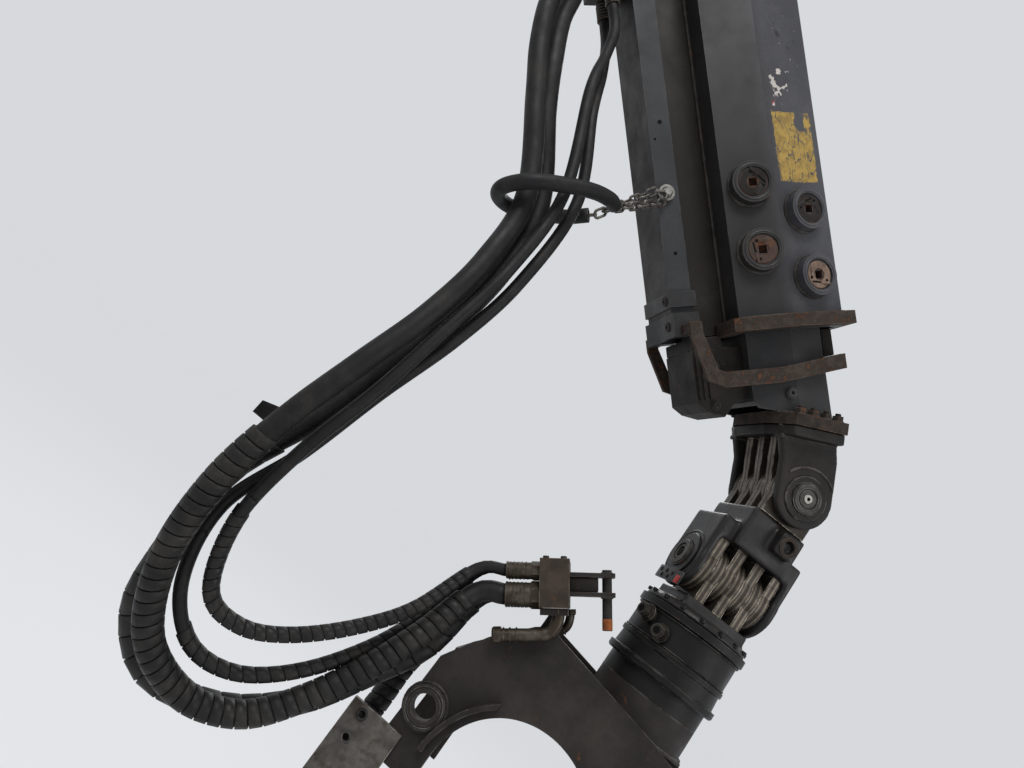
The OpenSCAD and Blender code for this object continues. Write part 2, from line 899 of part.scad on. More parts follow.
module frame_crown() color([0.26, 0.25, 0.24])
    at_head() {
        translate([0, 0, crown_floor])
            cylinder(r = min(rotator_r - 12, plate_y - 2), h = crown_top - crown_floor - 0.1, $fn = 96);
        block([bracket_x, -plate_y, crown_foot], [100, plate_y, crown_floor]);
        block([-tilt_x - 20, -plate_y, 42 - tilt_z], [-tilt_x - 4, plate_y, 122 - tilt_z]);
    }

arch_r = 170;
arch_x = 232 - tilt_x;
arch_z = -tilt_z - 63;
leg_bottom = -tilt_z - 128;
ear_x = 118;
ear_z = 42 - tilt_z;

module tilt_plates() color([0.27, 0.26, 0.24])
    at_head()
        for (side = [-1, 1])
            across(
                min(side * plate_y, side * frame_w / 2),
                max(side * plate_y, side * frame_w / 2)
            )
                difference() {
                    polygon([
                        [bracket_x, 268 - tilt_z], [bracket_x - 39, 237 - tilt_z],
                        [3 - tilt_x, 153 - tilt_z], [-tilt_x - 34, 92 - tilt_z],
                        [-tilt_x - 40, leg_bottom], [62 - tilt_x, leg_bottom],
                        [arch_x - arch_r, arch_z], [arch_x + arch_r, arch_z],
                        [66, ear_z - 48], [ear_x + 30, ear_z - 48], [ear_x + 48, ear_z - 20],
                        [ear_x + 48, crown_foot + 52], [100, crown_floor - 10], [39, crown_floor + 8],
                    ]);
                    translate([arch_x, arch_z])
                        circle(arch_r, $fn = 96);
                    translate([-tilt_x, -tilt_z])
                        circle(d = tilt_bore_d);
                    translate([ear_x, ear_z])
                        circle(d = ear_bore_d);
                }

boss_rise = 14;

module tilt_bosses() color([0.30, 0.29, 0.27])
    at_head()
        for (side = [-1, 1], b = [[-tilt_x, -tilt_z, tilt_bore_d, 42], [ear_x, ear_z, ear_bore_d, 34]])
            translate([b[0], side * (frame_w / 2 + 0.1), b[1]])
                rotate([side * -90, 0, 0])
                    difference() {
                        cylinder(r = b[3], h = boss_rise);
                        translate([0, 0, -1])
                            cylinder(d = b[2], h = boss_rise + 2);
                    }

// manifold for the hoses, its ports facing down and out
manifold_at = [-283, -120, -219];
manifold_tilt = -35;
manifold_l = 60;
// columns: across, up, outside of the ferrule
manifold_ports = [
    [-26, -24, hose_d + 6], [26, -24, hose_d + 6], [100, -24, hose_d + 6],
    [-26, 24, thin_hose_d + 8], [26, 24, thin_hose_d + 8],
];

module at_manifold() {
    at_head()
        translate(manifold_at)
            rotate([0, manifold_tilt, 0])
                children();
}

module manifold() color([0.18, 0.18, 0.18])
    at_manifold()
        block([-manifold_l / 2, -54, -48], [manifold_l / 2, 134, 48]);

module manifold_bracket() color([0.25, 0.24, 0.23]) {
    at_head()
        block([bracket_x - 22, 0.1 - plate_y, crown_foot + 32], [bracket_x - 0.1, -40, -264]);
    at_manifold()
        block([-28, -50, -62], [28, 100, -48 - seat]);
}

module hose_ferrules() color([0.55, 0.53, 0.50])
    at_manifold()
        for (p = manifold_ports)
            translate([-manifold_l / 2 - 68.1, p[0], p[1]])
                rotate([0, 90, 0])
                    cylinder(d = p[2], h = 68);

stop_reach = 92;

module stop_bracket() color([0.35, 0.30, 0.24])
    at_manifold() {
        for (z = [14, -24])
            block([manifold_l / 2 + 0.1, -24, z], [manifold_l / 2 + stop_reach, 24, z + 9]);
        translate([manifold_l / 2 + stop_reach - 16, 0, -88])
            cylinder(r = 10, h = 118);
    }

bulkhead_x = -tilt_x - 123;
bulkhead_y = -frame_w / 2 - 0.1;

module bulkhead_plate() color([0.50, 0.50, 0.48])
    at_head() {
        difference() {
            block([bulkhead_x, bulkhead_y - 8, -tilt_z - 268], [bulkhead_x + 120, bulkhead_y, -tilt_z - 68]);
            for (drop = [88, 138])
                translate([bulkhead_x + 32, bulkhead_y - 4, -tilt_z - drop])
                    cross_rod(8, 12);
        }
        block([bulkhead_x, bulkhead_y, -tilt_z - 268], [bulkhead_x + 80, bulkhead_y + 70, -tilt_z - 260]);
        translate([bulkhead_x + 35, -108, -tilt_z - 260])
            cylinder(d = hose_d + 8, h = 60);
    }

guard_in = arch_r + 16;
guard_bar_t = 11;

module guard_bar() color([0.27, 0.26, 0.25])
    at_head()
        across(-frame_w / 2 - 20, -frame_w / 2 - 0.1)
            translate([arch_x, arch_z])
                difference() {
                    circle(guard_in + guard_bar_t, $fn = 96);
                    circle(guard_in, $fn = 96);
                    translate([-300, -600])
                        square([600, 600]);
                    translate([-115, -10])
                        square([400, 400]);
                }

stick_box();
stick_tail();
cylinder_lug();
mouth_collar();
guard_strap();
adjuster_bosses();
adjuster_plugs();
mouth_pads();
guard_channel();
channel_collar();
cylinder_barrel();
chain_anchor();
sling_chain();
sling_sleeve();
hose_bulkhead();
hose_a();
hose_b();
hose_c();
hose_d_tube();  // hose_d
hose_e();
extension_box();
rear_pads();
cylinder_rod();
rod_block();
nose_flange();
hanger();
hanger_discs();
upper_pin();
link_body();
link_discs();
lower_pin();
rotator_head();
rotator_discs();
rotator_housing();
rotator_ports();
rotor_flange();
frame_crown();
tilt_plates();
tilt_bosses();
manifold_bracket();
manifold();
hose_ferrules();
stop_bracket();
bulkhead_plate();
guard_bar();
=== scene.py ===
import math
import random
from functools import partial

import bmesh
import bpy
from mathutils import Matrix, Vector


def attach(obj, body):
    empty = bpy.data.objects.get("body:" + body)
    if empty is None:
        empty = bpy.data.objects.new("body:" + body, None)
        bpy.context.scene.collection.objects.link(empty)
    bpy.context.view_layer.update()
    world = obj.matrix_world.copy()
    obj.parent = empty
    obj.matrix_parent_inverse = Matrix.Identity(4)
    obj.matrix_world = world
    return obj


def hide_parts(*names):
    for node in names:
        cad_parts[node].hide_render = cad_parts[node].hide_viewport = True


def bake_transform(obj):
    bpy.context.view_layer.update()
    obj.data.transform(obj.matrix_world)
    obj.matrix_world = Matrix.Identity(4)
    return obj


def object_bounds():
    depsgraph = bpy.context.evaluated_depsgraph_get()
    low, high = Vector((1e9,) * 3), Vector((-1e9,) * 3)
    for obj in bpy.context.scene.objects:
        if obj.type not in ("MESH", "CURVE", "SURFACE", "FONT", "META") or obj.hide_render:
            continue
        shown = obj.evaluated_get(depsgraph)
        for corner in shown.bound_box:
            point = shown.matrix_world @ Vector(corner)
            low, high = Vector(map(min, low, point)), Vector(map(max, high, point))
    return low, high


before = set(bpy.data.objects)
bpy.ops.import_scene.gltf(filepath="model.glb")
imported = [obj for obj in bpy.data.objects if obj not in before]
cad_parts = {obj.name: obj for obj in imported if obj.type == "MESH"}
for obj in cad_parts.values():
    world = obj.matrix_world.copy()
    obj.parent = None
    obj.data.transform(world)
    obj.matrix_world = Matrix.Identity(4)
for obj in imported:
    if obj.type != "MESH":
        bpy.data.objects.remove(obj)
cad_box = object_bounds()
random.seed(6)

# Sizes in metres, as in the CAD model
SLOPE = math.radians(46.6)
STICK_LEN = 2.000
STROKE = 0.900
NOSE_REACH = 0.205
NOSE_TILT = math.radians(17)
PIN_A = Vector((1.62443, 0.0, -1.71197))
LINK_LEN = 0.2334
PIN_B = PIN_A - Vector((0, 0, LINK_LEN))
HEAD_YAW = math.radians(-20)
MANIFOLD_AT = Vector((-0.283, -0.120, -0.219))
MANIFOLD_TILT = math.radians(-35)
HOSE_D = 0.042
THIN_D = 0.024
SLEEVE_D = 0.030

# Camera: the photograph's place, aim and lens, seen in the part's frame
CAMERA_AT = Vector((0.870, -1.445, -2.176))
CAMERA_LOOK = Vector((0.085, 0.977, 0.194))
CAMERA_RIGHT = Vector((0.780, -0.187, 0.598))
FOCAL_PX = 696.4
PHOTO_W = 1024

# Hose routes in millimetres, from part.scad
ROUTES = {
    "hose_a": [
        (435, -60, -895), (485, -80, -955), (525, -105, -1040), (545, -130, -1140),
        (565, -150, -1245), (610, -165, -1345), (670, -175, -1440), (780, -190, -1620),
        (800, -220, -1780), (785, -245, -1930), (750, -265, -2075), (715, -265, -2215),
        (690, -240, -2365), (700, -195, -2520), (760, -150, -2645), (865, -110, -2700),
        (965, -85, -2680), (1035, -65, -2610), (1095, -50, -2515), (1150, -30, -2400),
        (1197.9, -0.1, -2276.1), (1245.6, -17.5, -2240.6),
    ],
    "hose_b": [
        (435, 0, -895), (485, -5, -960), (535, -35, -1040), (575, -75, -1130),
        (600, -105, -1230), (645, -130, -1330), (700, -140, -1430), (810, -145, -1600),
        (835, -175, -1760), (820, -195, -1925), (778, -175, -2070), (742, -172, -2195),
        (685, -170, -2345), (682, -130, -2500), (700, -82, -2640), (790, -45, -2728),
        (930, -25, -2712), (1045, -5, -2630), (1125, 15, -2520), (1190, 35, -2415),
        (1215.7, 48.7, -2276.1), (1263.4, 31.4, -2240.6),
    ],
    "hose_c": [
        (650, -45, -1075), (695, -75, -1145), (720, -110, -1235), (745, -165, -1350),
        (835, -200, -1575), (845, -230, -1770), (825, -245, -1930), (800, -250, -2090),
        (765, -235, -2245), (750, -195, -2400), (790, -160, -2525), (865, -135, -2550),
        (945, -110, -2520), (1035, -75, -2450), (1110, -35, -2365), (1172, 9.3, -2236.8),
        (1219.7, -8.1, -2201.3),
    ],
    "hose_d": [
        (650, 15, -1075), (695, -15, -1145), (735, -70, -1245), (775, -140, -1370),
        (865, -175, -1560), (875, -200, -1765), (850, -220, -1930), (805, -215, -2090),
        (765, -200, -2250), (715, -180, -2400), (740, -150, -2540), (815, -115, -2625),
        (910, -90, -2630), (1005, -60, -2570), (1090, -20, -2470), (1145, 30, -2370),
        (1189.8, 58.2, -2236.8), (1237.5, 40.8, -2201.3),
    ],
    "hose_e": [
        (1289, 101, -2240), (1241, 118, -2276), (1210, 118, -2390), (1190, 112, -2490),
        (1185, 90, -2590), (1166, 69, -2660), (1174, 49, -2707),
    ],
}
SLING_ROUTE = [
    (899, -120, -1539), (864, -100, -1565), (815, -103, -1600), (768, -124, -1633),
    (738, -166, -1649), (740, -210, -1645), (774, -242, -1620), (828, -240, -1580),
    (877, -226, -1546), (911, -200, -1524), (925, -175, -1515),
]


# Frames of the moving groups
STICK = Matrix.Rotation(SLOPE, 4, "Y")
MOUTH = STICK @ Matrix.Translation((STICK_LEN, 0, 0))
NOSE = MOUTH @ Matrix.Translation((NOSE_REACH, 0, 0)) @ Matrix.Rotation(NOSE_TILT, 4, "Y")
HEAD = Matrix.Translation(PIN_B) @ Matrix.Rotation(HEAD_YAW, 4, "Z")
MANIFOLD = HEAD @ Matrix.Translation(MANIFOLD_AT) @ Matrix.Rotation(MANIFOLD_TILT, 4, "Y")


def move(x, y, z):
    return Matrix.Translation((x, y, z))


def lift(z):
    return Matrix.Translation((0, 0, z))


def spin(angle, axis):
    return Matrix.Rotation(angle, 4, axis)


def along_x(side):
    """Turn that brings z to +x, or to -x where side is -1."""
    return spin(side * math.pi / 2, "Y")


def along_y(side):
    """Turn that brings z to +y, or to -y where side is -1."""
    return spin(-side * math.pi / 2, "X")


# Mesh helpers
def new_object(name, verts, faces):
    mesh = bpy.data.meshes.new(name)
    mesh.from_pydata([tuple(v) for v in verts], [], faces)
    mesh.validate()
    for poly in mesh.polygons:
        poly.use_smooth = True
    obj = bpy.data.objects.new(name, mesh)
    bpy.context.scene.collection.objects.link(obj)
    return obj


def smooth_path(points, step):
    """Catmull-Rom curve through the points, sampled about every step metres."""
    p = [Vector(q) for q in points]
    p = [2 * p[0] - p[1]] + p + [2 * p[-1] - p[-2]]
    path = []
    for i in range(1, len(p) - 2):
        a, b, c, d = p[i - 1:i + 3]
        count = max(2, round((c - b).length / step))
        for k in range(count):
            t = k / count
            path.append(0.5 * (
                2 * b + (c - a) * t
                + (2 * a - 5 * b + 4 * c - d) * t * t
                + (3 * b - a - 3 * c + d) * t ** 3
            ))
    path.append(p[-2])
    return path


def path_length(path):
    return sum((b - a).length for a, b in zip(path, path[1:]))


def frames_along(path):
    """Each point with two side vectors, carried along without twist."""
    result = []
    side = Vector((0, 1, 0.2))
    for i, point in enumerate(path):
        ahead = path[min(i + 1, len(path) - 1)]
        behind = path[max(i - 1, 0)]
        tangent = (ahead - behind).normalized()
        side = (side - tangent * side.dot(tangent)).normalized()
        result.append((point, side, tangent.cross(side)))
    return result


# Camera
def add_camera():
    data = bpy.data.cameras.new("camera")
    data.sensor_fit = "HORIZONTAL"
    data.sensor_width = 36.0
    data.lens = 36.0 * FOCAL_PX / PHOTO_W
    data.clip_end = 60
    camera = bpy.data.objects.new("camera", data)
    bpy.context.scene.collection.objects.link(camera)
    back = -CAMERA_LOOK.normalized()
    right = (CAMERA_RIGHT - back * CAMERA_RIGHT.dot(back)).normalized()
    up = back.cross(right)
    rotation = Matrix((right, up, back)).transposed().to_4x4()
    camera.matrix_world = Matrix.Translation(CAMERA_AT) @ rotation
    bpy.context.scene.camera = camera


add_camera()


# Light and floor
def area_light(name, at, target, size, power):
    data = bpy.data.lights.new(name, "AREA")
    data.shape = "DISK"
    data.size = size
    data.energy = power
    lamp = bpy.data.objects.new(name, data)
    bpy.context.scene.collection.objects.link(lamp)
    lamp.location = at
    lamp.rotation_euler = (Vector(target) - Vector(at)).to_track_quat("-Z", "Y").to_euler()


def seen_strength(tree, socket, unseen, seen):
    """Gives a socket one value where it is seen, straight, mirrored or through
    something clear, and another elsewhere."""
    path = tree.nodes.new("ShaderNodeLightPath")
    share = path.outputs["Is Camera Ray"]
    for ray in ("Is Glossy Ray", "Is Transmission Ray"):
        either = tree.nodes.new("ShaderNodeMath")
        either.operation = "MAXIMUM"
        tree.links.new(share, either.inputs[0])
        tree.links.new(path.outputs[ray], either.inputs[1])
        share = either.outputs[0]
    strength = tree.nodes.new("ShaderNodeMapRange")
    strength.inputs["To Min"].default_value = unseen
    strength.inputs["To Max"].default_value = seen
    tree.links.new(share, strength.inputs["Value"])
    tree.links.new(strength.outputs[0], socket)


def add_light():
    """Soft light from all round; the camera sees the backdrop paler than it shines."""
    world = bpy.data.worlds.new("studio")
    world.use_nodes = True
    background = world.node_tree.nodes["Background"]
    background.inputs["Color"].default_value = (0.80, 0.82, 0.85, 1)
    seen_strength(world.node_tree, background.inputs["Strength"], 0.42, 0.85)
    bpy.context.scene.world = world
    target = (1.2, 0, -2.0)
    area_light("key", (-0.6, -2.6, 1.4), target, 2.4, 120)
    area_light("fill", (3.6, -2.2, -1.4), target, 2.0, 30)
    area_light("back", (1.6, 3.2, 0.4), target, 2.4, 55)
    bpy.context.scene.view_settings.view_transform = "Standard"


def add_floor():
    """Floor that stays clear of the part at full reach."""
    z = cad_box[0][2] - STROKE * math.sin(SLOPE) - 0.15
    verts = [(-30, -30, z), (30, -30, z), (30, 30, z), (-30, 30, z)]
    floor = new_object("floor", verts, [(0, 1, 2, 3)])
    material = bpy.data.materials.new("floor_pale")
    material.use_nodes = True
    shader = material.node_tree.nodes["Principled BSDF"]
    shader.inputs["Roughness"].default_value = 0.9
    shader.inputs["Specular IOR Level"].default_value = 0.0
    shader.inputs["Emission Color"].default_value = (0.80, 0.82, 0.85, 1)
    seen_strength(material.node_tree, shader.inputs["Base Color"], 0.90, 0.22)
    seen_strength(material.node_tree, shader.inputs["Emission Strength"], 0.0, 0.75)
    floor.data.materials.append(material)


add_light()
add_floor()


# Procedural materials
def linear(rgb):
    """An sRGB colour of 0 to 255 as the linear value that a shader takes."""
    parts = [c / 255 for c in rgb]
    parts = [c / 12.92 if c <= 0.04045 else ((c + 0.055) / 1.055) ** 2.4 for c in parts]
    return (*parts, 1)


AXIS_X = (1.0, 0.0, 0.0)
AXIS_Y = (0.0, 1.0, 0.0)
AXIS_Z = (0.0, 0.0, 1.0)
MATERIALS = {}


class Graph:
    """Builds one material: each call adds a node and returns its output."""

    def __init__(self, name):
        material = bpy.data.materials.new(name)
        material.use_nodes = True
        MATERIALS[name] = material
        self.tree = material.node_tree
        self.shader = self.tree.nodes["Principled BSDF"]
        self.place = self.add("ShaderNodeTexCoord", {}, "Object")
        self.normal = self.add("ShaderNodeTexCoord", {}, "Normal")

    def set(self, socket, value):
        if isinstance(value, bpy.types.NodeSocket):
            self.tree.links.new(value, socket)
        else:
            socket.default_value = value

    def add(self, kind, inputs, output=0, **settings):
        node = self.tree.nodes.new(kind)
        for key, value in settings.items():
            setattr(node, key, value)
        for key, value in inputs.items():
            self.set(node.inputs[key], value)
        return node.outputs[output]

    def noise(self, scale, detail=4.0, rough=0.6):
        inputs = {"Vector": self.place, "Scale": scale, "Detail": detail, "Roughness": rough}
        return self.add("ShaderNodeTexNoise", inputs)

    def step(self, value, low, high):
        inputs = {"Value": value, "From Min": low, "From Max": high}
        return self.add("ShaderNodeMapRange", inputs, interpolation_type="SMOOTHSTEP")

    def spread(self, value, low, high):
        """Brings the middle part of a noise to a range."""
        inputs = {"Value": value, "From Min": 0.3, "From Max": 0.7, "To Min": low, "To Max": high}
        return self.add("ShaderNodeMapRange", inputs)

    def math(self, operation, a, b=0.0, **settings):
        return self.add("ShaderNodeMath", {0: a, 1: b}, operation=operation, **settings)

    def times(self, a, b):
        return self.math("MULTIPLY", a, b)

    def dot(self, a, b):
        return self.add("ShaderNodeVectorMath", {0: a, 1: b}, "Value", operation="DOT_PRODUCT")

    def mix(self, share, a, b):
        """Mixes two colours; 6 and 7 are the node's colour inputs, 2 is its colour output."""
        return self.add("ShaderNodeMix", {0: share, 6: a, 7: b}, 2, data_type="RGBA")

    def lay(self, share, colour, rgb):
        """Lays an sRGB colour over another by a share."""
        return self.mix(share, colour, linear(rgb))

    def edges(self, width):
        """1 on sharp edges, 0 on flat faces."""
        rounded = self.add("ShaderNodeBevel", {"Radius": width}, "Normal", samples=4)
        flat = self.add("ShaderNodeNewGeometry", {}, "Normal")
        return self.step(self.dot(rounded, flat), 0.985, 0.86)

    def bump(self, strength, distance, height):
        inputs = {"Strength": strength, "Distance": distance, "Height": height}
        self.set(self.shader.inputs["Normal"], self.add("ShaderNodeBump", inputs))


def surface(name, base, other, patch, dust_share, rust_share, rough, dust=(112, 108, 98),
            rust=(92, 56, 34), rust_scale=18.0, wear_and_highlight=(120, 118, 114), wear_and_highlight_share=0.35,
            metallic=0.0, swing=0.14, shine=0.18, bump=0.25, lumps=0.0, paint=None):
    """Painted, cast or rusty metal: two tones in patches, speckles, rust, dust on top
    and lighter edges, worn on most and a painted highlight on some. paint(graph, colour)
    may lay marks, darker areas or painted shade and highlights over the base colour."""
    g = Graph(name)
    tone = g.step(g.noise(patch, 6.0, 0.65), 0.36, 0.64)
    colour = g.mix(tone, linear(base), linear(other))
    speck = g.step(g.noise(150.0, 3.0, 0.7), 0.52, 0.72)
    colour = g.lay(g.times(speck, 0.35), colour, [c * 0.62 for c in base])
    if paint:
        colour = paint(g, colour)
    edge = g.edges(0.003)
    spots = None
    if rust_share:
        field = g.math("ADD", g.noise(rust_scale, 9.0, 0.68), g.times(edge, 0.10))
        spots = g.step(field, 0.72 - 0.26 * rust_share, 0.80 - 0.22 * rust_share)
        dark_rust = [c * 0.55 for c in rust]
        pale_rust = [min(255, c * 1.35) for c in rust]
        shade = g.mix(g.noise(90.0, 3.0), linear(dark_rust), linear(pale_rust))
        colour = g.mix(g.times(spots, 0.9), colour, shade)
    up = g.step(g.dot(g.normal, AXIS_Z), -0.2, 1.0)
    cover = g.times(up, g.step(g.noise(24.0, 8.0, 0.7), 0.35, 0.70))
    cover = g.times(cover, dust_share * 2.4)
    film = g.times(g.step(g.noise(4.0, 8.0, 0.7), 0.45, 0.75), dust_share)
    dusty = g.math("MAXIMUM", cover, film, use_clamp=True)
    colour = g.lay(dusty, colour, dust)
    # lighter edges: worn metal, and a painted highlight on the discs and the galvanised plate
    worn = g.times(edge, g.step(g.noise(35.0, 5.0), 0.42, 0.60))
    colour = g.lay(g.times(worn, wear_and_highlight_share), colour, wear_and_highlight)
    g.set(g.shader.inputs["Base Color"], colour)
    g.shader.inputs["Metallic"].default_value = metallic
    g.shader.inputs["Specular IOR Level"].default_value = shine
    gloss = g.spread(g.noise(14.0, 6.0), rough - swing, rough + swing)
    if spots:
        gloss = g.math("ADD", gloss, g.times(spots, 0.2), use_clamp=True)
    g.set(g.shader.inputs["Roughness"], gloss)
    height = g.times(g.noise(420.0, 3.0), 0.5)
    if lumps:
        height = g.math("ADD", height, g.times(g.noise(70.0, 4.0, 0.5), lumps))
    if spots:
        height = g.math("ADD", height, g.times(spots, 0.8))
    g.bump(bump, 0.001, height)


def rubber(name, base, other, dust_share, rough):
    """Hose rubber: two dark tones, a film of dust, scuffs, fine grain in the bump."""
    g = Graph(name)
    tone = g.step(g.noise(9.0, 6.0, 0.65), 0.38, 0.62)
    colour = g.mix(tone, linear(base), linear(other))
    film = g.times(g.step(g.noise(16.0, 9.0, 0.72), 0.44, 0.74), dust_share)
    colour = g.lay(film, colour, (74, 69, 62))
    scuff = g.times(g.step(g.noise(60.0, 7.0, 0.75), 0.60, 0.70), 0.35)
    colour = g.lay(scuff, colour, (58, 56, 54))
    g.set(g.shader.inputs["Base Color"], colour)
    g.shader.inputs["Specular IOR Level"].default_value = 0.22
    gloss = g.spread(g.noise(20.0, 5.0), rough - 0.12, rough + 0.15)
    g.set(g.shader.inputs["Roughness"], gloss)
    height = g.math("ADD", g.times(g.noise(520.0, 3.0), 0.6), g.times(g.noise(38.0), 0.8))
    g.bump(0.3, 0.0012, height)


# Directions of the stick's own frame, for marks that lie on it
STICK_AHEAD = (math.cos(SLOPE), 0.0, -math.sin(SLOPE))
STICK_UP = (math.sin(SLOPE), 0.0, math.cos(SLOPE))
# Width of a mark's border
BORDER = 0.002
# Distance between the painted highlight lines on the discs' rims, half a disc's slot
LAMELLA = 0.0122


def window(g, low_x, high_x, low_h, high_h, ragged):
    """1 inside a box of the stick's near side, given in metres before the mouth and over
    the axis, its border broken up by noise."""
    wave = g.times(g.math("SUBTRACT", g.noise(45.0, 6.0, 0.7), 0.5), ragged)
    x = g.math("ADD", g.math("SUBTRACT", g.dot(g.place, STICK_AHEAD), STICK_LEN), wave)
    h = g.math("ADD", g.dot(g.place, STICK_UP), wave)
    inside = g.times(g.step(x, low_x - BORDER, low_x), g.step(x, high_x, high_x - BORDER))
    inside = g.times(inside, g.step(h, low_h - BORDER, low_h))
    inside = g.times(inside, g.step(h, high_h, high_h - BORDER))
    return g.times(inside, g.step(g.dot(g.place, AXIS_Y), -0.09, -0.095))


def stick_marks(g, colour):
    """Darker paint below the fold, a worn yellow patch and the rest of a red and
    white one on the near side."""
    chipped = window(g, -0.900, -0.560, 0.028, 0.132, 0.040)
    chips = g.times(chipped, g.step(g.noise(44.0, 6.0, 0.7), 0.62, 0.66))
    colour = g.lay(chips, colour, (36, 35, 37))
    specks = g.times(chipped, g.step(g.noise(80.0, 5.0, 0.7), 0.655, 0.68))
    colour = g.lay(specks, colour, (150, 149, 152))
    # darker towards the bottom of the box, below its fold
    h = g.math("ADD", g.dot(g.place, STICK_UP), g.times(g.noise(5.0, 6.0), 0.05))
    colour = g.lay(g.times(g.step(h, 0.075, 0.015), 0.8), colour, (34, 31, 30))
    patch = window(g, -0.478, -0.320, 0.036, 0.136, 0.016)
    along = g.times(g.dot(g.place, STICK_AHEAD), 9.0)
    over = g.times(g.dot(g.place, STICK_UP), 34.0)
    streaks = g.add("ShaderNodeCombineXYZ", {"X": along, "Y": over, "Z": 0.0})
    scratches = {"Vector": streaks, "Scale": 1.3, "Detail": 5.0, "Distortion": 0.5}
    scratch = g.add("ShaderNodeTexNoise", scratches)
    gone = g.step(g.math("ABSOLUTE", g.math("SUBTRACT", scratch, 0.5)), 0.007, 0.018)
    lost = g.math("SUBTRACT", 1.0, window(g, -0.484, -0.438, 0.096, 0.121, 0.030))
    kept = g.times(patch, g.times(gone, lost))
    yellow = g.mix(g.step(g.noise(60.0), 0.4, 0.65), linear((166, 138, 72)), linear((134, 110, 60)))
    colour = g.mix(kept, colour, yellow)
    rest = window(g, -0.578, -0.490, 0.042, 0.090, 0.014)
    flakes = g.times(rest, g.step(g.noise(38.0, 5.0), 0.53, 0.56))
    tint = g.mix(g.step(g.noise(22.0), 0.56, 0.60), linear((186, 180, 174)), linear((150, 44, 46)))
    return g.mix(flakes, colour, tint)


def channel_dark_face_and_shade(g, colour):
    """Darker brown on the channel's outer face, and painted shade on its webs in the recess under the box;
    the sides stay grey.
    """
    h = g.dot(g.place, STICK_UP)
    face = g.step(g.math("ABSOLUTE", g.dot(g.normal, AXIS_Y)), 0.8, 0.4)
    # painted shade on the webs above the channel's sides, in the recess under the box
    shaded_webs = g.step(h, -0.175, -0.171)
    return g.lay(g.times(g.math("MAXIMUM", face, shaded_webs), 0.9), colour, (28, 23, 19))


def disc_highlights_and_shade(g, colour):
    """Painted shade across the discs' rims, leaving two painted highlight lines along each
    rim that also stand for thin lamellae; the upper stack lies along y, the lower one along x."""
    upper = g.step(g.dot(g.place, AXIS_Z), PIN_B.z + 0.068, PIN_B.z + 0.072)
    across = g.times(upper, g.dot(g.place, AXIS_Y))
    lower = g.math("SUBTRACT", g.dot(g.place, AXIS_X), PIN_B.x)
    across = g.math("ADD", across, g.times(g.math("SUBTRACT", 1.0, upper), lower))
    # painted shade on each rim, between the painted highlight lines
    dark = g.step(g.math("PINGPONG", across, LAMELLA / 2), 0.0046, 0.0028)
    return g.lay(g.times(dark, 0.8), colour, (30, 25, 22))


def port_marks(g, colour):
    """Brown grease round the fittings."""
    grease = g.step(g.noise(30.0), 0.46, 0.62)
    return g.lay(g.times(grease, 0.6), colour, (60, 50, 40))


# Columns: name, two tones, scale of their patches, shares of dust and rust, roughness
surface("boom_grey", (72, 72, 76), (57, 57, 61), 5.0, 0.12, 0.0, 0.46,
        wear_and_highlight_share=0.3, bump=0.16, shine=0.26, paint=stick_marks)
surface("side_grey", (52, 52, 53), (40, 40, 41), 6.0, 0.12, 0.05, 0.5)
surface("channel_grey", (57, 58, 60), (47, 48, 50), 6.0, 0.1, 0.1, 0.5, paint=channel_dark_face_and_shade)
surface("dark_brown", (34, 30, 28), (24, 22, 20), 8.0, 0.16, 0.28, 0.66,
        dust=(88, 82, 74), lumps=0.4)
surface("collar_rust", (62, 53, 47), (36, 31, 28), 60.0, 0.2, 0.7, 0.74,
        dust=(96, 88, 78), rust=(84, 56, 40), rust_scale=60.0, wear_and_highlight=(128, 114, 100),
        lumps=0.6, bump=0.4)
surface("flange_rust", (54, 45, 39), (34, 30, 27), 50.0, 0.2, 0.5, 0.7,
        dust=(96, 88, 78), rust=(90, 58, 40), rust_scale=24.0, wear_and_highlight=(124, 114, 104),
        lumps=0.6, bump=0.4)
surface("plate_dark", (47, 43, 41), (34, 31, 30), 9.0, 0.18, 0.3, 0.56,
        dust=(92, 86, 78), wear_and_highlight=(124, 120, 114), wear_and_highlight_share=0.6, lumps=0.3)
surface("block_brown", (68, 58, 50), (50, 43, 38), 24.0, 0.2, 0.4, 0.6,
        dust=(92, 84, 72), wear_and_highlight=(150, 140, 126), wear_and_highlight_share=0.7, lumps=0.5)
surface("hanger_dark", (36, 33, 31), (25, 23, 22), 11.0, 0.14, 0.3, 0.54,
        dust=(86, 80, 74), wear_and_highlight=(150, 146, 140), wear_and_highlight_share=0.9, lumps=0.9, bump=0.55)
surface("cast_black", (26, 24, 24), (17, 16, 16), 10.0, 0.14, 0.16, 0.42,
        dust=(80, 74, 68), wear_and_highlight_share=0.5, shine=0.26, lumps=1.0, bump=0.55)
surface("rotator_black", (22, 21, 21), (15, 15, 15), 10.0, 0.14, 0.1, 0.44,
        dust=(74, 68, 60), wear_and_highlight_share=0.4, lumps=0.4)
# Light base and bright edges of the discs are painted highlights on their rims
surface("disc_brown", (120, 111, 99), (84, 76, 66), 30.0, 0.06, 0.4, 0.42,
        rust=(72, 48, 32), wear_and_highlight=(206, 196, 180), wear_and_highlight_share=0.9, metallic=0.3,
        paint=disc_highlights_and_shade)
surface("pin_grey", (58, 56, 54), (42, 40, 39), 30.0, 0.16, 0.3, 0.46,
        wear_and_highlight=(140, 136, 130), wear_and_highlight_share=0.7)
surface("plug_rust", (74, 56, 50), (50, 41, 38), 30.0, 0.2, 0.6, 0.66)
surface("plug_pale", (134, 112, 98), (96, 78, 68), 60.0, 0.3, 0.5, 0.7, rust=(120, 76, 52))
surface("zinc", (156, 154, 148), (122, 120, 114), 60.0, 0.3, 0.2, 0.42,
        dust=(92, 84, 72), wear_and_highlight_share=0.2, metallic=0.7)
